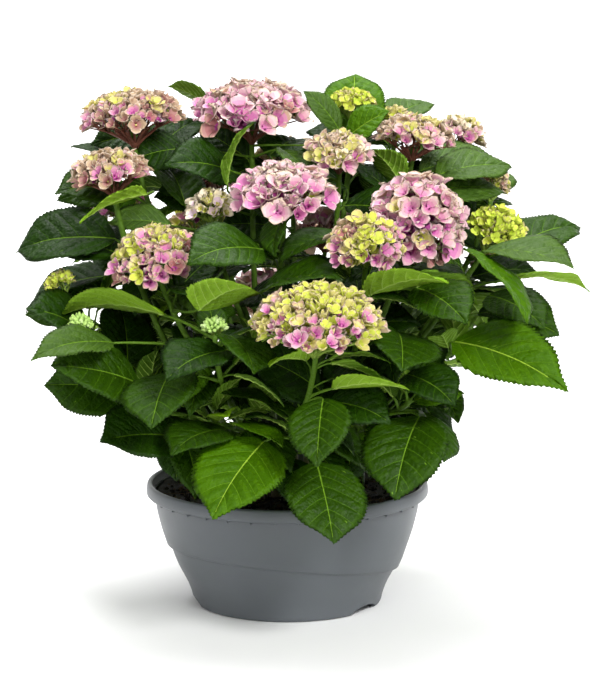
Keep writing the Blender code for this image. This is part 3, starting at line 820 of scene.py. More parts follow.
VEINS = 6
FIRST_VEIN, LAST_VEIN, TIP_PLACE = 0.05, 0.775, 0.93  # where the side veins leave the midrib
BASE_ROWS = ((0.003, 0.03), (0.008, 0.08), (0.015, 0.15), (0.025, 0.235), (0.037, 0.33))
COLUMNS = (0.0, 0.26, 0.56, 0.84)  # share of the half width; the first is the midrib's edge
VEIN_CURVE = 1.22
WIDEST_PLACE = 0.45
BASE_ROUND = 0.62
END_ROUND = 2.25
ROUND_GAIN = 4.0
SLIM = 0.70
TIP_FROM = 0.64
RIB_HALF = 0.80 * MM
RIB_NARROWS = 0.7
RIB_SUNK = 0.35
RIB_KEEL = 0.85
VEIN_HALF = 0.46 * MM
VEIN_THICK = 0.6 * MM
TOOTH = 2.9 * MM
TOOTH_FADE = 0.35
TOOTH_NOTCH = 0.2
TWIST_PLACE = 0.35
TIP_BEND_FROM = 0.55
BLADE_THICK = 0.45 * MM
QUILT = 0.023
PUCKER = 0.42 * MM
MOST_PUCKERS = 600


def margin_place(m):
    """Where along the leaf the net's row from midrib place m meets the margin."""
    return 1 - 0.57 * ((1 - m) / (1 - FIRST_VEIN)) ** 1.3


def outline(g, fullness, taper, breadth):
    """Half width of the blade along it, as a share of the widest. A broad leaf has a rounder end."""
    peak = WIDEST_PLACE * fullness
    base = np.sin(math.pi / 2 * np.clip(g / peak, 0, 1)) ** BASE_ROUND
    rest = np.clip((g - peak) / (1 - peak), 0, 1)
    near_tip = np.clip((rest - TIP_FROM) / (1 - TIP_FROM), 0, 1)
    roundness = END_ROUND + ROUND_GAIN * max(0.0, breadth - SLIM)
    return np.where(g < peak, base, (1 - rest**roundness) * (1 - taper * near_tip))


def blade_rows():
    """Rows of the blade's net: midrib place, margin place, side of a vein (0 for none) and rise."""
    rows = [(m, g, 0, 0.4) for m, g in BASE_ROWS]
    places = [FIRST_VEIN + (LAST_VEIN - FIRST_VEIN) * k / (VEINS - 1) for k in range(VEINS)] + [TIP_PLACE]
    for here, after in zip(places, places[1:]):
        rows += [(here, margin_place(here), -1, 0.0), (here, margin_place(here), 1, 0.0)]
        for k in (1, 2):
            m = here + (after - here) * k / 3
            rows.append((m, margin_place(m), 0, 1.0))
    rows.append((TIP_PLACE, margin_place(TIP_PLACE), 0, 0.0))
    return rows


class BladeNet:
    """The net that every leaf shares: the place of each point in it, and its triangles with their kinds."""

    def __init__(self):
        self.rows = blade_rows()
        self.entries = []
        self.faces = []
        self.kinds = []
        for m, g, vein, rise in self.rows:
            for low in (0, 1):
                self.entry(m, g, 0, vein, rise, 0, low, 0, 0)
        centre = {(r, low): 2 * r + low for r in range(len(self.rows)) for low in (0, 1)}
        heel = self.entry(0, 0, 0, 0, 0, 0, 0.5, 0, 0)
        tip = self.entry(1, 1, 0, 0, 0, 0, 0.5, 0, 0)
        for half in (-1, 1):
            self.half_net(half, centre, heel, tip)
        self.table = np.array(self.entries, float).T
        # Top and underside share their puckers, so that the blade keeps its thickness.
        pairs = {}
        self.pucker_place = np.array([
            pairs.setdefault((m, g, v, vein, half, rib, out), len(pairs))
            for m, g, v, vein, rise, half, low, rib, out in self.entries
        ])

    def entry(self, m, g, v, vein, rise, half, low, rib, out):
        self.entries.append((m, g, v, vein, rise, half, low, rib, out))
        return len(self.entries) - 1

    def face(self, corners, half, low, kind):
        """Triangles over three or four corners, turned so that they face out of the blade."""
        if (half > 0) != bool(low):
            corners = corners[::-1]
        for k in range(1, len(corners) - 1):
            self.faces.append((corners[0], corners[k], corners[k + 1]))
            self.kinds.append(kind)

    def half_net(self, half, centre, heel, tip):
        rows, last = self.rows, len(self.rows) - 1
        grid = {}
        for r, (m, g, vein, rise) in enumerate(rows):
            for low in (0, 1):
                grid[r, 0, low] = centre[r, low]
                grid[r, 1, low] = self.entry(m, g, 0, vein, rise, half, low, 1, 0)
                for c, v in enumerate(COLUMNS[1:]):
                    grid[r, c + 2, low] = self.entry(m, g, v, vein, rise, half, low, 0, 0)
            grid[r, "edge"] = self.entry(m, g, 1, vein, 0, half, 0.5, 0, 0)
        columns = len(COLUMNS) + 1
        for r in range(last):
            strip = rows[r][2] == -1
            (m0, g0), (m1, g1) = rows[r][:2], rows[r + 1][:2]
            tooth = None
            if g0 > 0.07 and not strip:
                tooth = self.entry((m0 + m1) / 2, g0 + (g1 - g0) * 0.8, 1, 0, 0, half, 0.5, 0, 1)
            for low in (0, 1):
                for c in range(columns - 1):
                    kind = "rib" if c == 0 else "vein" if strip else "blade"
                    quad = (r, c), (r, c + 1), (r + 1, c + 1), (r + 1, c)
                    self.face([grid[a, b, low] for a, b in quad], half, low, (kind, low, c))
                inner, outer = grid[r, columns - 1, low], grid[r + 1, columns - 1, low]
                kind = ("vein" if strip else "blade", low, columns)
                if tooth is None:
                    self.face([inner, grid[r, "edge"], grid[r + 1, "edge"], outer], half, low, kind)
                else:
                    self.face([inner, grid[r, "edge"], tooth], half, low, kind)
                    self.face([inner, tooth, outer], half, low, kind)
                    self.face([tooth, grid[r + 1, "edge"], outer], half, low, kind)
        for low in (0, 1):
            for r, end, flip in ((0, heel, 0), (last, tip, 1)):
                ring = [grid[r, c, low] for c in range(columns)] + [grid[r, "edge"]]
                for a, b in zip(ring, ring[1:]):
                    self.face([a, b, end], half, low ^ flip ^ 1, ("blade", low, columns))

    def points(self, leaf, shape):
        """The net laid out as one leaf, from its chord, roll and width and its own bends."""
        m, g, v, vein, rise, half, low, rib, out = self.table
        chord, side, normal = blade_axes(leaf)
        length = (leaf["tip"] - leaf["heel"]).length
        widest = leaf["width"] / 2
        width = widest * outline(g, shape["fullness"], shape["taper"], 2 * widest / length)
        scale = length / 0.1
        t = m + (g - m) * v**VEIN_CURVE + vein * VEIN_HALF / length * (1 - 0.55 * v)
        tooth = TOOTH * scale**0.5 * (1 - TOOTH_FADE * g)
        rib_half = rib * RIB_HALF * scale * (1 - RIB_NARROWS * m)
        y = v * width + rib_half + (out - TOOTH_NOTCH * (v == 1)) * tooth
        lift = LEAF_ARCH * length * 4 * t * (1 - t)
        lift = lift + shape["fold"] * y * (1.5 - 0.5 * y / widest)
        lift = lift + QUILT * length * rise * np.sin(math.pi * np.clip(v * 1.05, 0, 1)) * (1 - low * 0.2)
        lift = lift + shape["pucker"][self.pucker_place] * PUCKER * np.minimum(v * 5, 1) * (vein == 0)
        phase = shape["phase"] + half * 1.1
        lift = lift + shape["wave"] * length * np.sin(shape["waves"] * 2 * math.pi * t + phase) * v**2
        lift = lift + shape["tip"] * length * np.clip(t - TIP_BEND_FROM, 0, 1) ** 2
        rib_depth = np.where(v == 0, 1 - rib, 0)
        lift = lift - rib_depth * (RIB_SUNK + RIB_KEEL * low) * MM * (1 - RIB_NARROWS * m)
        lift = lift - low * (BLADE_THICK + (vein != 0) * VEIN_THICK)
        y = y * half
        turn = shape["twist"] * (t - TWIST_PLACE)
        cos, sin = np.cos(turn), np.sin(turn)
        y, lift = y * cos - lift * sin, y * sin + lift * cos
        y = y + shape["sweep"] * length * t**2
        points = np.outer(t * length, chord) + np.outer(y, side) + np.outer(lift, normal)
        points[:, 2] -= shape["droop"] * length * t**3
        return points + np.array(leaf["heel"])


# Tones of a leaf: its blade near the midrib and near the margin, its side veins and its midrib. The shades
# mix the leaves' own greens with painted light: dark is mostly painted shade within the crown, bright is
# partly painted light, grey is a painted sheen, and lime is partly the green of young leaves and partly
# painted light shining through the blade
SHADES = {
    "dark": ("leaf_dark", "dark_edge", "vein_dark", "rib_mid"),
    "mid": ("leaf_mid", "mid_edge", "vein_mid", "rib_mid"),
    "bright": ("leaf_bright", "bright_edge", "vein_bright", "rib_light"),
    "grey": ("leaf_grey", "grey_edge", "vein_grey", "rib_mid"),
    "lime": ("leaf_lime", "lime_edge", "vein_light", "rib_light"),
}
# Undersides of dark leaves are darker, painted shade; those of lime leaves paler, partly painted light
# through the blade
UNDERSIDES = {"dark": "under_dark", "lime": "under_light"}
FRESH_MARGIN = (0.0, 0.15, 0.30, 0.50, 0.70, 0.85)  # share of the outer tone, midrib to margin


def leaf_tones(kinds, shade, draw):
    """A tone for each triangle: the outer tone comes in by patches, the more the nearer the margin."""
    inner, outer, vein, rib = SHADES[shade]
    under = UNDERSIDES.get(shade, "under")
    fresh = [draw.random() for _ in range(len(kinds) // 2 + 1)]
    tones = []
    for k, (kind, low, column) in enumerate(kinds):
        if kind == "blade":
            top = outer if fresh[k // 2] < FRESH_MARGIN[column] else inner
            tones.append(under if low else top)
        else:
            top = vein if kind == "vein" else rib
            tones.append("under_vein" if low else top)
    return tones


def leaf_shape(draw):
    """The bends of one leaf: fullness and fold, waves of its margin, twist, sweep, droop and puckers."""
    return {
        "fullness": draw.uniform(0.86, 1.12),
        "taper": draw.uniform(0.34, 0.66),
        "pucker": np.array([draw.uniform(-1, 1) for _ in range(MOST_PUCKERS)]),
        "fold": LEAF_FOLD + draw.uniform(-0.10, 0.06),
        "phase": draw.uniform(0, 6.28),
        "wave": draw.uniform(0.008, 0.022),
        "waves": draw.uniform(1.2, 2.4),
        "tip": draw.uniform(-0.45, 0.05),
        "twist": draw.uniform(-0.25, 0.25),
        "sweep": draw.uniform(-0.03, 0.03),
        "droop": draw.uniform(0.0, 0.04),
    }


def shade_by_painted_light(leaf, draw):
    """Shade of a leaf of the rule, dealt as painted light: painted shade makes it darker within, painted
    light and sheen make it brighter and greyer near the top and the outside.
    """
    out = crown_share(leaf["tip"])
    high = leaf["heel"].z / 0.5
    return draw.choices(
        ("dark", "mid", "bright", "grey"),
        (1.3 - out, 1.0, 0.15 + 0.3 * high, 0.1 + 0.5 * high * out),
    )[0]


def add_leaf(leaf, net, draw, blades, stalks):
    shade = leaf["shade"] or shade_by_painted_light(leaf, draw)
    shape = leaf_shape(draw)
    blades.add(net.points(leaf, shape), net.faces, leaf_tones(net.kinds, shade, draw))
    chord = (leaf["tip"] - leaf["heel"]).normalized()
    stalk = (leaf["heel"] - leaf["root"]).normalized()
    path = curve(leaf["root"], stalk, leaf["heel"] + chord * 2 * MM, (stalk + chord * 1.5).normalized(), 6)
    size = min(1.0, (leaf["tip"] - leaf["heel"]).length / 0.085)
    radii = [r * MM * size for r in (2.3, 1.6, 1.5, 1.4, 1.1)]
    stalks.add_body(*tube(path, radii, 7), "petiole")


# ---------------------------------------------------------------- flower heads

GOLDEN = math.pi * (3 - math.sqrt(5))
SEPALS = 4
SEPAL_ROWS = ((0.0, 0.7), (0.25, 1.0), (0.50, 1.0), (0.72, 0.88), (0.88, 0.52), (1.0, 0.02))
SEPAL_COLUMNS = (-1.0, -0.80, 0.0, 0.80, 1.0)
INNER_ROWS = ((0.0, 0.7), (0.55, 1.0), (1.0, 0.1))
INNER_COLUMNS = (-1.0, 0.0, 1.0)
INNER_DEPTH = 0.70
SEPAL_REACH = 1.0  # half the angle that a sepal takes up round its floret, in radians
SEPAL_THICK = 0.022
CUP_FOOT = (0.62, 0.35)  # a sepal's rise in a closed cup, and what opening takes off it, in radians
CUP_EDGE = (1.15, 1.35)  # the same at its edge
BELLY = 0.45
EYE_SIDES = 4
EYE_HALF = 0.10
EYE_HEIGHT = 0.16

# Tones of one floret: its sepals from the heart to the edge in five steps, their backs, and its eye
FLORETS = {
    "green": "green green green green lime green lime",
    "lime": "lime lime lime lime butter lime yellow",
    "yellow": "lime lime yellow yellow butter yellow yellow",
    "cream": "lime yellow butter peach cream tan yellow",
    "peach": "magenta mauve pink peach cream sand mauve",
    "blush": "mauve pink blush pale cream blush mauve",
    "pink": "magenta mauve pink blush pale peach mauve",
    "vivid": "magenta mauve mauve pink pale blush blush",
    "rose": "magenta rose rose dusty peach dusty rose",
    "tan": "rose dusty tan sand cream tan yellow",
    "lilac": "lime lilac lilac milk milk milk blush",
    "milk": "lime yellow milk milk milk milk yellow",
    "dusty": "magenta rose dusty dusty sand tan dusty",
}

# Look of a head: florets at its middle and at its rim with their shares, length of a sepal in mm,
# how far the sepals open (0 a cup, 1 flat) and how far florets stand apart, in lengths of a sepal
LOOKS = {
    "opening": (
        {"lime": 12, "yellow": 6, "cream": 2, "peach": 1},
        {"yellow": 4, "lime": 2, "cream": 4, "peach": 3, "pink": 3},
        (12.5, 0.28, 0.98),
    ),
    "turning": (
        {"lime": 5, "yellow": 3, "peach": 3, "cream": 1},
        {"peach": 4, "vivid": 2, "pink": 2, "rose": 2, "yellow": 1},
        (14.0, 0.36, 0.98),
    ),
    "open": (
        {"blush": 5, "pink": 4, "cream": 1},
        {"pink": 5, "blush": 3, "vivid": 2, "rose": 1, "peach": 1},
        (17.5, 0.52, 1.00),
    ),
    "vivid": (
        {"pink": 5, "blush": 4, "cream": 1},
        {"vivid": 5, "pink": 4, "blush": 1},
        (18.5, 0.52, 1.02),
    ),
    "fresh": (
        {"cream": 3, "yellow": 4, "milk": 2, "peach": 1},
        {"peach": 3, "blush": 4, "milk": 1, "cream": 2},
        (13.5, 0.38, 0.96),
    ),
    "dusty": (
        {"tan": 5, "peach": 3, "yellow": 3, "cream": 2},
        {"dusty": 3, "rose": 2, "tan": 3, "peach": 2, "pink": 3},
        (13.0, 0.35, 0.96),
    ),
    "tan": (
        {"lime": 4, "yellow": 4, "cream": 1},
        {"yellow": 4, "lime": 2, "tan": 3},
        (10.5, 0.30, 1.02),
    ),
    "green": ({"green": 6, "lime": 2}, {"green": 5, "lime": 3, "yellow": 1}, (9.5, 0.30, 0.92)),
    "lilac": ({"yellow": 3, "milk": 4, "lilac": 2}, {"lilac": 4, "milk": 4, "lime": 1}, (10.5, 0.30, 1.10)),
    "bud": ({"bud": 1}, {"bud": 1}, (4.2, 0.0, 1.0)),
}
RED_STALKED = ("open", "vivid", "fresh", "dusty")
HEAD_INSET = 0.42
HEAD_EDGE = math.radians(86)
FAN_DEPTH = 0.34
BRANCHES = 17
BUD_BRANCHES = 5
RIM_FROM = 0.66
LEAF_CLEAR = 6.5 * MM


class FloretNet:
    """Four sepals and an eye: the place of each point and the triangles, shared by every floret."""

    def __init__(self, rows, columns):
        self.entries, self.faces, self.parts, self.rims = [], [], [], {}
        for sepal in range(SEPALS):
            self.sheet(sepal, 0, rows, columns)
            self.sheet(sepal, 1, rows, columns)
        eye = len(self.entries)
        self.eye = np.array([(1, 0, 0), (0, 1, 0), (-1, 0, 0), (0, -1, 0), (0, 0, 1)], float)
        for k in range(EYE_SIDES):
            self.faces.append((eye + k, eye + (k + 1) % EYE_SIDES, eye + EYE_SIDES))
            self.parts.append(6)
        self.table = np.array(self.entries, float).T

    def sheet(self, sepal, back, rows, columns):
        """The inner face of a sepal, or its back. The two share the points of the sepal's edge."""
        last, n = len(rows) - 1, len(columns)
        place = {}
        for r, (u, share) in enumerate(rows):
            for c, v in enumerate(columns):
                if back and (r in (0, last) or c in (0, n - 1)):
                    place[r, c] = self.rims[r, c]
                    continue
                place[r, c] = len(self.entries)
                self.entries.append((sepal, u, share, v, back))
        self.rims = place
        for r in range(last):
            for c in range(n - 1):
                side = r > 1 and n > 3 and c in (0, n - 2)
                part = 4 if side or r == last - 1 else 5 if back else r
                corners = (place[r, c], place[r + 1, c], place[r + 1, c + 1], place[r, c + 1])
                for tri in (corners[:3], (corners[0], corners[2], corners[3])):
                    self.faces.append(tri if back else tri[::-1])
                    self.parts.append(part)

    def points(self, centre, facing, size, openness, draw):
        """One floret round its facing axis. Openness 0 is a closed cup and 1 a flat star."""
        spin = draw.uniform(0, 6.28)
        sepal, u, share, v, back = self.table
        which = sepal.astype(int)

        def each(low, high):
            return np.array([draw.uniform(low, high) for _ in range(SEPALS)])[which]

        lean, reach, bearing = each(-0.12, 0.12), each(0.86, 1.14), each(-0.14, 0.14)
        start = CUP_FOOT[0] - CUP_FOOT[1] * openness + lean
        end = CUP_EDGE[0] - CUP_EDGE[1] * openness + 1.5 * lean
        belly = BELLY * (2 * u - 4 * u**2 / 3)
        mean = start + (end - start) * u / 2 + belly
        length = size * reach * (u - back * SEPAL_THICK)
        out = length * np.cos(mean) + (which % 2) * 0.05 * size
        up = length * np.sin(mean) - back * SEPAL_THICK * size
        up = up + size * each(0.02, 0.10) * v**2 * u + size * each(-0.05, 0.05) * np.sin(3.2 * v) * u
        out = out + size * each(-0.10, 0.04) * v**2 * u
        azimuth = spin + sepal * math.pi / 2 + bearing + v * share ** draw.uniform(0.7, 1.5) * SEPAL_REACH
        x, y = out * np.cos(azimuth), out * np.sin(azimuth)
        x = np.concatenate([x, self.eye[:, 0] * size * EYE_HALF])
        y = np.concatenate([y, self.eye[:, 1] * size * EYE_HALF])
        up = np.concatenate([up, self.eye[:, 2] * size * EYE_HEIGHT + size * 0.05])
        side, over = across(facing)
        return np.array(centre) + np.outer(x, side) + np.outer(y, over) + np.outer(up, facing)

    def tones(self, kind):
        tones = FLORETS[kind].split()
        return ["p_" + tones[part] for part in self.parts]


def bead(centre, radius, axis=UP, stretch=1.0):
    """A closed bud or a crumb: a ball of 20 sides, drawn out along an axis."""
    ball = bmesh.new()
    bmesh.ops.create_icosphere(ball, subdivisions=1, radius=radius)
    verts = [centre + v.co + axis * v.co.dot(axis) * (stretch - 1) for v in ball.verts]
    faces = [tuple(v.index for v in f.verts) for f in ball.faces]
    ball.free()
    return verts, faces


def dome_places(radius, height, spacing, furthest):
    """Polar angle and bearing of evenly spread florets on the dome, from its top to its lower rim."""
    steps = 200
    angles = [furthest * k / steps for k in range(steps + 1)]
    areas = [0.0]
    for a, b in zip(angles, angles[1:]):
        mid = (a + b) / 2
        ring = radius * math.sin(mid) * math.hypot(radius * math.cos(mid), height * math.sin(mid))
        areas.append(areas[-1] + 2 * math.pi * ring * (b - a))
    count = max(3, round(areas[-1] / (spacing * spacing * 0.87)))
    places = []
    low = 0
    for k in range(count):
        area = (k + 0.5) / count * areas[-1]
        while areas[low + 1] < area:
            low += 1
        share = (area - areas[low]) / (areas[low + 1] - areas[low])
        places.append((angles[low] + (angles[low + 1] - angles[low]) * share, k * GOLDEN))
    return places


class Head:
    """A mophead: florets on a dome, each on its own stalk from one of the branches under it."""

    def __init__(self, shoot, draw):
        self.draw = draw
        self.middle_mix, self.rim_mix, (floret, self.openness, self.spacing) = LOOKS[shoot["look"]]
        self.floret = floret * MM
        self.small = shoot["look"] == "bud"
        self.origin, self.axis = shoot["bloom"]["origin"], shoot["bloom"]["axis"]
        self.radius, height = shoot["bloom"]["radius"], shoot["bloom"]["height"]
        self.side, self.over = across(self.axis)
        inset = self.floret * (0.5 if self.small else HEAD_INSET)
        self.wide, self.high = self.radius - inset, max(height - inset, self.radius * 0.2)
        self.foot = along(shoot["path"], self.radius * FAN_DEPTH)[0] or shoot["path"][-1]
        self.stalk_tone = "pedicel_red" if shoot["look"] in RED_STALKED else "pedicel_green"
        branches = BRANCHES if self.radius > SMALL_BLOOM else BUD_BRANCHES
        self.knots = []
        for k in range(branches):
            spoke = spoke_at(self.side, self.over, 2 * math.pi * k / branches)
            out = 0.36 + 0.18 * (k % 2)
            self.knots.append(self.origin + spoke * self.wide * out - self.axis * self.radius * 0.10)
        self.knots.append(self.origin + self.axis * self.high * 0.20)

    def add_branches(self, stalks):
        for knot in self.knots:
            way = (knot - self.foot).normalized()
            path = curve(self.foot - self.axis * 2 * MM, (self.axis + way).normalized(), knot, way, 4)
            stalks.add_body(*tube(path, (1.9 * MM, 1.5 * MM, 1.2 * MM), 5), self.stalk_tone)

    def on_dome(self, polar, bearing, swell):
        """A place on the dome and the way that a floret there faces."""
        spoke = spoke_at(self.side, self.over, bearing)
        out, up = spoke * self.wide * math.sin(polar), self.axis * self.high * math.cos(polar)
        facing = spoke * math.sin(polar) / self.wide + self.axis * math.cos(polar) / self.high
        jitter = Vector([self.draw.uniform(-1, 1) for _ in range(3)]) * 0.30
        facing = (facing.normalized() + self.axis * 0.30 + jitter).normalized()
        return self.origin + (out + up) * swell, facing

    def add_outer(self, net, petals, stalks, leaf_tree):
        """The florets that show, or a bud cluster's beads, left out where a leaf is near."""
        draw = self.draw
        for polar, bearing in dome_places(self.wide, self.high, self.floret * self.spacing, HEAD_EDGE):
            polar += draw.uniform(-0.06, 0.06)
            bearing += draw.uniform(-0.06, 0.06)
            place, facing = self.on_dome(polar, bearing, 1 + draw.uniform(-0.10, 0.05))
            if leaf_tree.find_nearest(place, LEAF_CLEAR)[0]:
                continue
            knot = min(self.knots, key=lambda k: (k - place).length)
            if self.small:
                tone = draw.choice(("bud_pale", "bud_green", "bud_green"))
                petals.add_body(*bead(place, self.floret * draw.uniform(0.40, 0.60), facing, 1.9), tone)
            else:
                share = min(1.0, polar / HEAD_EDGE) + draw.uniform(-0.25, 0.25)
                mix = self.rim_mix if share > RIM_FROM else self.middle_mix
                kind = draw.choices([*mix], [*mix.values()])[0]
                size = self.floret * draw.uniform(0.80, 1.14)
                opened = min(1.0, max(0.0, self.openness + draw.uniform(-0.25, 0.25)))
                place = place - facing * size * (CUP_FOOT[0] - CUP_FOOT[1] * opened)
                points = net.points(place, facing, size, opened, draw)
                petals.add(points, net.faces, net.tones(kind))
            way = (place - knot).normalized()
            path = curve(knot, way, place, (facing + way).normalized(), 2)
            stalks.add_body(*tube(path, (0.85 * MM, 0.7 * MM), 4), self.stalk_tone)

    def add_inner(self, net, petals):
        """Florets still folded, deeper in the head."""
        kinds = [*self.middle_mix, *self.rim_mix]
        spacing = self.floret * self.spacing * 1.05
        for polar, bearing in dome_places(self.wide, self.high, spacing, HEAD_EDGE):
            swell = INNER_DEPTH + self.draw.uniform(-0.08, 0.08)
            place, facing = self.on_dome(polar, bearing + 1.3, swell)
            points = net.points(place, facing, self.floret * 0.85, self.openness, self.draw)
            petals.add(points, net.faces, net.tones(self.draw.choice(kinds)))


# ---------------------------------------------------------------- stems


def cane_radius(base, phase):
    """A cane's radius with a flared foot, faint ridges and three swollen nodes."""
    taper = tapered(base)

    def radius_of(share, angle):
        flare = 0.22 * math.exp(-share * 14)
        ridge = 0.045 * math.sin(5 * angle + phase + 3 * share) + 0.025 * math.sin(11 * angle - 7 * share)
        node = sum(0.16 * math.exp(-(((share - place) / 0.035) ** 2)) for place in (0.3, 0.58, 0.84))
        return taper(share, angle) * 0.92 * (1 + flare + ridge + node)

    return radius_of


def add_limbs(parts, draw, canes, twigs):
    """The mass's cane with its bark's relief, and the green stem and shoots that grow on from it."""
    cane_path = curve(*parts["cane_ends"], 34) + [parts["cane"][-1]]
    rings = limb_rings(cane_path, cane_radius(CANE_RADII, draw.uniform(0, 6.28)), 16)
    canes.add_body(*loft(rings), "bark")
    twigs.add_body(*tube(parts["stem"], (STEM_RADIUS, STEM_RADIUS * 0.9), 12), "shoot_green")
    for shoot in parts["shoots"]:
        path = curve(*shoot["ends"], 18)
        phase = draw.uniform(0, 1)
        taper = tapered([r * 0.86 for r in SHOOT_RADII])

        def radius_of(share, angle):
            node = math.exp(-((((share * 4 + phase) % 1) - 0.5) ** 2) / 0.006)
            return taper(share, angle) * (1 + 0.14 * node)

        twigs.add_body(*loft(limb_rings(path, radius_of, 10)), "shoot_green")


# ---------------------------------------------------------------- pot and soil

POT_SEGMENTS = 168
RIBS = 36
ARCH_SIDES = 48
SOIL_SEGMENTS = 96
SOIL_RINGS = 25
PEAT_RELIEF = ((28, 2.4), (95, 1.8), (240, 1.2))  # scale of the noise and its depth in mm
CRUMBS = 900
FIBRES = 170
RIM_FOOT = POT_HEIGHT - RIM_BAND
WAIST = 43 * MM
FOOT_HEIGHT = 3.4 * MM
# Profiles in mm: inset from the foot's radius and height; share of the step's run and of its width;
# inset from the rim's radius with the height above its foot, and then with the drop from its top
FOOT_EDGE = ((2.6, 0.5), (0.8, 1.6))
STEP_PROFILE = ((0.25, 0.10), (0.5, 0.45), (0.75, 0.85), (1.0, 1.0))
RIM_LOWER = ((5.2, 5.2), (4.6, 0.8), (3.4, 0), (1.7, 0.3), (0.5, 1.4), (0, 3.2), (0.1, 7))
RIM_UPPER = ((0.7, 2.6), (1.4, 1.0), (2.6, 0.2), (3.6, 0), (4.8, 0.3), (6, 1.4), (6.6, 6))


def body_radius(z):
    """The body's outer radius, its profile rounded over a few millimetres."""
    spread = [z + d * MM for d in range(-8, 9, 2)]
    return sum(radius_at(BODY_PROFILE, max(s, 3 * MM)) for s in spread) / len(spread)


def pot_column(angle):
    """Radius and height of the pot's points at one angle: up outside, over the rim and down inside."""
    step = STEP_MIDDLE + STEP_SLANT * math.cos(angle - math.radians(STEP_HIGH_SIDE))
    lower = step - STEP_RUN
    foot = body_radius(FOOT_HEIGHT)
    column = [(BASE_RADIUS, 0.0)]
    column += [(foot - inset * MM, z * MM) for inset, z in FOOT_EDGE]
    for k in range(7):
        z = FOOT_HEIGHT + (lower - FOOT_HEIGHT) * k / 6
        column.append((body_radius(z), z))
    for share, out in STEP_PROFILE:
        z = lower + STEP_RUN * share
        column.append((body_radius(z) + STEP_OUT * out, z))
    for k in range(1, 9):
        z = step + (RIM_FOOT + 5 * MM - step) * k / 8
        column.append((body_radius(min(z, RIM_FOOT)) + STEP_OUT, z))
    column += [(RIM_RADIUS - inset * MM, RIM_FOOT + z * MM) for inset, z in RIM_LOWER]
    column += [(RIM_RADIUS - inset * MM, POT_HEIGHT - drop * MM) for inset, drop in RIM_UPPER]
    column.append((body_radius(RIM_FOOT) - WALL + STEP_OUT, RIM_FOOT - 4 * MM))
    return column + [(body_radius(z) - WALL, z) for z in (WAIST, BASE_THICK)]


def turned(columns):
    """Rings through columns of (radius, height), one column for each angle round +Z."""
    rings = []
    for level in range(len(columns[0])):
        ring = []
        for k, column in enumerate(columns):
            radius, z = column[level]
            ring.append(round_z(radius, 2 * math.pi * k / len(columns), z))
        rings.append(ring)
    return rings


def round_z(radius, angle, z):
    return Vector((radius * math.cos(angle), radius * math.sin(angle), z))


def block(bearing, low, high, half_width):
    """A bar that stands out from the axis at a bearing, between two (radius, height) corners."""
    turn = Matrix.Rotation(bearing, 3, "Z")
    corners = (-half_width, low[1]), (half_width, low[1]), (half_width, high[1]), (-half_width, high[1])
    return loft([[turn @ Vector((radius, y, z)) for y, z in corners] for radius in (low[0], high[0])])


def drain_arch(bearing):
    """The round bar that cuts a drain arch from under the pot's foot."""
    turn = Matrix.Rotation(math.radians(bearing), 3, "Z")
    angles = [2 * math.pi * k / ARCH_SIDES for k in range(ARCH_SIDES)]
    section = [(NOTCH_HALF_WIDTH * math.cos(angle), NOTCH_HEIGHT * math.sin(angle)) for angle in angles]
    ends = NOTCH_FROM, RIM_RADIUS
    return outward(*loft([[turn @ Vector((radius, y, z)) for y, z in section] for radius in ends]))


def make_pot(materials):
    """The bowl with its slanted step, the rim's hollow band with ribs inside it, and three drain arches."""
    columns = [pot_column(2 * math.pi * k / POT_SEGMENTS) for k in range(POT_SEGMENTS)]
    bowl = Heap()
    bowl.add_body(*loft(turned(columns)), "pot")
    pot = mesh_piece("pot_bowl", bowl, materials, ["pot"])
    for bearing in NOTCH_BEARINGS:
        points, triangles = drain_arch(bearing)
        cutter = placed("cutter", bpy.data.meshes.new("cutter"))
        cutter.data.from_pydata(points.tolist(), [], triangles.tolist())
        cut = pot.modifiers.new("arch", "BOOLEAN")
        cut.operation = "DIFFERENCE"
        cut.object = cutter
        bpy.context.view_layer.update()
        graph = bpy.context.evaluated_depsgraph_get()
        mesh = bpy.data.meshes.new_from_object(pot.evaluated_get(graph))
        pot.modifiers.clear()
        pot.data = mesh
        bpy.data.objects.remove(cutter)
    pot.data.set_sharp_from_angle(angle=math.radians(40))
    low = body_radius(RIM_FOOT) + STEP_OUT - 0.5 * MM, RIM_FOOT - 2.5 * MM
    high = RIM_RADIUS - 4.2 * MM, RIM_FOOT + 5.5 * MM
    ribs = Heap()
    for k in range(RIBS):
        ribs.add_body(*block(2 * math.pi * (k + 0.5) / RIBS, low, high, 0.9 * MM), "pot")
    mesh_piece("pot_rim_ribs", ribs, materials, ["pot"], smooth=False)


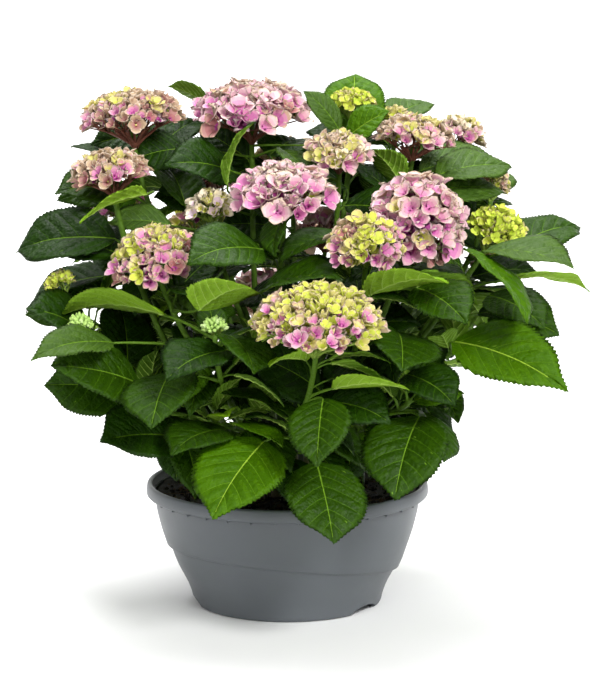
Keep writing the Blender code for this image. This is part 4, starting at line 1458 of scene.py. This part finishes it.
def make_soil(materials, draw):
    """Peat that fills the bowl to a little under the rim, with crumbs and fibres on it."""
    wall = body_radius(RIM_FOOT) - WALL + STEP_OUT - 2 * GAP
    low = body_radius(BASE_THICK) - WALL - 2 * GAP

    def top(radius, angle):
        place = round_z(radius, angle, 0)
        rough = sum(noise.noise(place * scale) * depth for scale, depth in PEAT_RELIEF)
        return SOIL_TOP - 1.0 * MM + rough * MM + 4 * MM * (radius / wall) ** 4

    def scattered(reach, inner, rise):
        """A random place on the peat: its angle and its point, lifted by a rise."""
        radius, angle = wall * reach * math.sqrt(draw.uniform(inner, 1)), draw.uniform(0, 2 * math.pi)
        return lambda size: round_z(radius, angle, top(radius, angle) + rise + size * 0.3)

    columns = []
    for k in range(SOIL_SEGMENTS):
        angle = 2 * math.pi * k / SOIL_SEGMENTS
        column = [(low * 0.97, BASE_THICK + GAP), (low, BASE_THICK + 3 * MM)]
        column += [(body_radius(WAIST) - WALL - 2 * GAP, WAIST), (wall - 0.6 * MM, 102 * MM)]
        radii = [wall * (1 - n / 24.6) for n in range(SOIL_RINGS)]
        columns.append(column + [(radius, top(radius, angle)) for radius in radii])
    peat = Heap()
    peat.add_body(*loft(turned(columns)), "peat")
    mesh_piece("soil_peat", peat, materials, ["soil"])
    crumbs = Heap()
    for _ in range(CRUMBS):
        place_for = scattered(0.97, 0.05, 0.0)
        size = draw.uniform(0.8, 2.8) * MM
        verts, faces = bead(Vector(), size)
        stretch = Matrix.Diagonal([draw.uniform(0.5, 1.5) for _ in range(3)])
        spin = Matrix.Rotation(draw.uniform(0, 6.28), 3, "Z") @ Matrix.Rotation(draw.uniform(0, 6.28), 3, "X")
        verts = [spin @ (stretch @ v) * draw.uniform(0.8, 1.2) + place_for(size) for v in verts]
        crumbs.add_body(verts, faces, draw.choice(("crumb_dark", "crumb_dark", "crumb_brown")))
    for _ in range(FIBRES):
        start = scattered(0.9, 0.02, 1.5 * MM)(0.0)
        way = direction(draw.uniform(0, 360), draw.uniform(-5, 12))
        end = start + direction(draw.uniform(0, 360), draw.uniform(-3, 8)) * draw.uniform(8, 26) * MM
        if math.hypot(end.x, end.y) < wall * 0.97:
            path = curve(start, way, end, direction(draw.uniform(0, 360), -10), 4)
            crumbs.add_body(*tube(path, (0.55 * MM, 0.35 * MM), 4), "crumb_brown")
    mesh_piece("soil_crumbs", crumbs, materials, ["soil"], smooth=False)


# ---------------------------------------------------------------- materials

# Plain tones dealt out by face: roughness and specular level, and the base colours that have them
TONES = {
    # Dark and mid greens: partly the leaves' own, partly painted shade for leaves within the crown
    (0.46, 0.14): {
        "leaf_dark": (0.008, 0.029, 0.0),
        "dark_edge": (0.011, 0.037, 0.0),
        "leaf_mid": (0.016, 0.048, 0.0),
        "mid_edge": (0.021, 0.060, 0.0),
    },
    # Bright greens: partly painted light on leaves that face it
    (0.50, 0.11): {
        "leaf_bright": (0.042, 0.114, 0.0),
        "bright_edge": (0.052, 0.134, 0.0),
    },
    # Greyed greens that are a painted sheen
    (0.50, 0.17): {
        "leaf_grey": (0.040, 0.088, 0.008),
        "grey_edge": (0.048, 0.102, 0.008),
    },
    # Lime greens: partly young leaves, partly painted light through the blade; the veins and ribs follow each
    # leaf's shade
    (0.55, 0.09): {
        "leaf_lime": (0.140, 0.275, 0.004),
        "lime_edge": (0.160, 0.310, 0.005),
        "vein_dark": (0.033, 0.088, 0.003),
        "vein_mid": (0.062, 0.145, 0.006),
        "vein_bright": (0.110, 0.230, 0.010),
        "vein_light": (0.270, 0.430, 0.040),
        "rib_mid": (0.130, 0.250, 0.015),
        "rib_light": (0.270, 0.420, 0.035),
    },
    # The veins of grey leaves, part of their painted sheen
    (0.52, 0.14): {"vein_grey": (0.095, 0.175, 0.030)},
    (0.60, 0.10): {
        "under": (0.120, 0.235, 0.016),
        # under_dark is painted shade under dark leaves; under_light is partly painted light through lime ones
        "under_dark": (0.050, 0.110, 0.007),
        "under_light": (0.210, 0.370, 0.025),
        "under_vein": (0.330, 0.490, 0.090),
    },
    (0.52, 0.18): {
        "petiole": (0.080, 0.165, 0.010),
        "shoot_green": (0.070, 0.145, 0.010),
    },
    (0.55, 0.15): {
        "pedicel_green": (0.200, 0.300, 0.045),
        "pedicel_red": (0.200, 0.075, 0.050),
        "bud_green": (0.430, 0.620, 0.170),
        "bud_pale": (0.560, 0.720, 0.300),
    },
    (0.60, 0.15): {
        "p_green": (0.64, 0.76, 0.10),
        "p_lime": (0.56, 0.61, 0.09),
        "p_yellow": (0.59, 0.54, 0.17),
        "p_butter": (0.64, 0.56, 0.26),
        "p_cream": (0.65, 0.52, 0.40),
        "p_peach": (0.54, 0.365, 0.26),
        "p_pale": (0.66, 0.48, 0.48),
        "p_blush": (0.64, 0.38, 0.43),
        "p_pink": (0.62, 0.275, 0.41),
        "p_lilac": (0.70, 0.54, 0.62),
        "p_sand": (0.54, 0.40, 0.26),
        "p_milk": (0.84, 0.74, 0.56),
        "p_mauve": (0.56, 0.18, 0.385),
        "p_magenta": (0.44, 0.075, 0.30),
        "p_rose": (0.42, 0.17, 0.17),
        "p_dusty": (0.44, 0.23, 0.21),
        "p_tan": (0.44, 0.30, 0.205),
    },
    (0.95, 0.15): {
        "crumb_dark": (0.008, 0.006, 0.004),
        "crumb_brown": (0.050, 0.030, 0.014),
    },
}
GLOSS_SPREAD = 0.07
SKIN = {False: (230, 0.0024), True: (420, 0.0006)}  # scale and depth of the crinkle of leaves, and of petals


class Nodes:
    """Short calls for the nodes of one material, read in object space."""

    def __init__(self, name, roughness):
        self.material = bpy.data.materials.new(name)
        self.material.use_nodes = True
        self.tree = self.material.node_tree
        self.shader = self.tree.nodes["Principled BSDF"]
        self.place = self.tree.nodes.new("ShaderNodeTexCoord").outputs["Object"]
        self.drive(Roughness=roughness)

    def fill(self, node, inputs):
        """Sets sockets by name: a number or a colour is written there, and an output is linked."""
        for name, value in inputs.items():
            if isinstance(value, bpy.types.NodeSocket):
                self.tree.links.new(value, node.inputs[name])
            else:
                node.inputs[name].default_value = value

    def drive(self, **inputs):
        """Sockets of the shader, each with _ for the spaces in its name."""
        self.fill(self.shader, {name.replace("_", " "): value for name, value in inputs.items()})

    def node(self, kind, output, inputs, **settings):
        made = self.tree.nodes.new("ShaderNode" + kind)
        for name, value in settings.items():
            setattr(made, name, value)
        self.fill(made, inputs)
        return made.outputs[output]

    def noise(self, scale, detail=2.0, stretch=(1, 1, 1)):
        place = self.node("Mapping", "Vector", {"Scale": stretch, "Vector": self.place})
        return self.node("TexNoise", "Fac", {"Scale": scale, "Detail": detail, "Vector": place})

    def ramp(self, fac, *stops):
        colour = self.node("ValToRGB", "Color", {"Fac": fac})
        elements = colour.node.color_ramp.elements
        while len(elements) < len(stops):
            elements.new(0.5)
        for element, (place, tone) in zip(elements, stops):
            element.position = place
            element.color = (*tone, 1)
        return colour

    def mix(self, fac, a, b, blend="MIX"):
        inputs = {"Factor": fac, "A": a, "B": b}
        return self.node("Mix", "Result", inputs, data_type="RGBA", blend_type=blend)

    def map_range(self, value, low, high, to_low, to_high):
        inputs = {"Value": value, "From Min": low, "From Max": high, "To Min": to_low, "To Max": to_high}
        return self.node("MapRange", "Result", inputs)

    def bump(self, height, distance, strength):
        inputs = {"Distance": distance, "Strength": strength, "Height": height}
        self.drive(Normal=self.node("Bump", "Normal", inputs))


def living(name, colour, roughness, specular):
    """A leaf's, petal's or stem's tone, with the fine crinkle and the uneven gloss of its skin."""
    make = Nodes(name, roughness)
    scale, depth = SKIN[name.startswith("p_")]
    grain = make.noise(scale, 3)
    gloss = make.map_range(grain, 0.3, 0.7, roughness - GLOSS_SPREAD, roughness + GLOSS_SPREAD)
    make.drive(Base_Color=(*colour, 1), Specular_IOR_Level=specular, Roughness=gloss)
    make.bump(grain, depth, 1.0)
    return make.material


def pot_material():
    """Grey moulded plastic: a fine grain, faint clouds in its colour and a soft gloss."""
    make = Nodes("pot", 0.42)
    clouds = make.ramp(make.noise(9, 3), (0.3, (0.084, 0.094, 0.104)), (0.7, (0.093, 0.104, 0.114)))
    make.drive(Base_Color=clouds, Roughness=make.map_range(make.noise(30, 3), 0.3, 0.7, 0.38, 0.46))
    make.bump(make.noise(900, 2), 0.0002, 0.35)
    return make.material


def peat_material():
    make = Nodes("peat", 0.95)
    stops = (0.35, (0.004, 0.003, 0.002)), (0.55, (0.011, 0.008, 0.005)), (0.75, (0.045, 0.030, 0.017))
    make.drive(Base_Color=make.ramp(make.noise(260, 5), *stops))
    make.bump(make.noise(420, 6), 0.002, 0.8)
    return make.material


def bark_material():
    """Brown at the soil and green above, with streaks along the cane and pale specks."""
    make = Nodes("bark", 0.62)
    streak = make.noise(240, 4, (1, 1, 0.12))
    brown = make.ramp(streak, (0.35, (0.085, 0.060, 0.030)), (0.65, (0.190, 0.140, 0.075)))
    green = make.ramp(streak, (0.35, (0.085, 0.135, 0.030)), (0.65, (0.150, 0.230, 0.055)))
    height = make.node("SeparateXYZ", "Z", {"Vector": make.place})
    colour = make.mix(make.map_range(height, 0.125, 0.185, 0.0, 1.0), brown, green)
    specks = make.ramp(make.noise(700, 1, (1, 1, 0.5)), (0.66, (0.0, 0.0, 0.0)), (0.72, (0.10, 0.08, 0.04)))
    make.drive(Base_Color=make.mix(1.0, colour, specks, "ADD"))
    make.bump(streak, 0.0006, 0.6)
    return make.material


def make_materials():
    materials = {"pot": pot_material(), "peat": peat_material(), "bark": bark_material()}
    for (roughness, specular), colours in TONES.items():
        for name, colour in colours.items():
            materials[name] = living(name, colour, roughness, specular)
    return materials


# ---------------------------------------------------------------- studio

FLOOR_RADIUS = 6.0
FLOOR_BEND = 1.0
FLOOR_WALL = 3.0
FLOOR_STEPS = 12
FLOOR_SEGMENTS = 96
PALE = (0.90, 0.90, 0.90, 1)
SKY_STRENGTH = 0.30
# Soft lights: name, place, what it faces, size in metres and power in watts
LIGHTS = (
    ("key", (1.2, -2.2, 2.0), (0, 0, 0.3), 0.8, 92),
    ("top", (-0.3, 0.2, 2.4), (0, 0, 0.3), 1.3, 34),
    ("fill", (-1.0, -2.5, 1.3), (0, 0, 0.3), 1.2, 20),
    ("backdrop", (0, 1.2, 2.6), (0, 3.4, 0.4), 2.2, 150),
    ("wall", (0, 3.2, 3.0), (0, 6.6, 1.0), 3.0, 200),
)


def make_floor():
    """A wide pale floor that curves up into a wall all round."""
    profile = [(1.0, 0.0), (2.5, 0.0), (FLOOR_RADIUS, 0.0)]
    for k in range(1, FLOOR_STEPS + 1):
        angle = math.pi / 2 * k / FLOOR_STEPS
        profile.append((FLOOR_RADIUS + FLOOR_BEND * math.sin(angle), FLOOR_BEND * (1 - math.cos(angle))))
    profile.append((FLOOR_RADIUS + FLOOR_BEND, FLOOR_WALL))
    n = FLOOR_SEGMENTS
    verts = [Vector()] + [point for ring in turned([profile] * n) for point in ring]
    faces = [(0, 1 + k, 1 + (k + 1) % n) for k in range(n)]
    for low in range(1, 1 + n * (len(profile) - 1), n):
        faces += [(low + k, low + k + n, low + (k + 1) % n + n, low + (k + 1) % n) for k in range(n)]
    mesh = bpy.data.meshes.new("floor")
    mesh.from_pydata(verts, [], faces)
    mesh.polygons.foreach_set("use_smooth", [True] * len(faces))
    make = Nodes("floor", 0.8)
    make.drive(Base_Color=PALE, Specular_IOR_Level=0.2)
    mesh.materials.append(make.material)
    placed("floor", mesh)


def aim(thing, place, target):
    thing.location = place
    thing.rotation_euler = (Vector(target) - Vector(place)).to_track_quat("-Z", "Y").to_euler()


def make_studio():
    make_floor()
    for name, place, target, size, power in LIGHTS:
        lamp = bpy.data.lights.new(name, "AREA")
        lamp.shape = "SQUARE"
        lamp.size = size
        lamp.energy = power
        aim(placed(name, lamp), place, target)
    scene = bpy.context.scene
    scene.world = bpy.data.worlds.new("studio")
    scene.world.use_nodes = True
    background = scene.world.node_tree.nodes["Background"]
    background.inputs["Color"].default_value = (1, 1, 1, 1)
    background.inputs["Strength"].default_value = SKY_STRENGTH
    scene.view_settings.view_transform = "Standard"
    lens = bpy.data.cameras.new("camera")
    lens.lens = LENS
    lens.sensor_width = 36
    scene.camera = placed("camera", lens)
    aim(scene.camera, EYE, LOOK_AT)


# ---------------------------------------------------------------- the whole plant

SIDES = {
    "front": ("front", "front_left", "front_right"),
    "middle": ("middle", "top_right", "right_top"),
    "left": ("left_front", "left_top", "left_side", "left_back"),
    "right": ("right_side", "back_right"),
    "back": ("top_left", "back", "back_left"),
}


def make_plant(materials):
    plant = Plant()
    blade_net = BladeNet()
    floret_nets = FloretNet(SEPAL_ROWS, SEPAL_COLUMNS), FloretNet(INNER_ROWS, INNER_COLUMNS)
    leaf_tree = plant.joined_tree([piece for piece in plant.pieces if piece.kind == "leaf"])
    canes = Heap()
    for side, masses in SIDES.items():
        blades, twigs, petals = Heap(), Heap(), Heap()
        for mass in masses:
            draw = random.Random(f"{SEED} {mass}")
            parts = plant.plan[mass]
            add_limbs(parts, draw, canes, twigs)
            for leaf in plant.leaves:
                if leaf["mass"] == mass:
                    add_leaf(leaf, blade_net, draw, blades, twigs)
            for shoot in parts["shoots"]:
                if shoot["bloom"]["radius"]:
                    head = Head(shoot, draw)
                    head.add_branches(twigs)
                    head.add_outer(floret_nets[0], petals, twigs, leaf_tree)
                    if not head.small:
                        head.add_inner(floret_nets[1], petals)
        nodes = [f"foliage_{mass}" for mass in masses]
        for kind, heap in (("leaves", blades), ("twigs", twigs), ("blossom", petals)):
            mesh_piece(f"{kind}_{side}", heap, materials, nodes)
    mesh_piece("canes", canes, materials, [f"cane_{mass}" for mass in MASSES])


def main():
    materials = make_materials()
    make_plant(materials)
    make_pot(materials)
    make_soil(materials, random.Random(SEED))
    make_studio()


main()
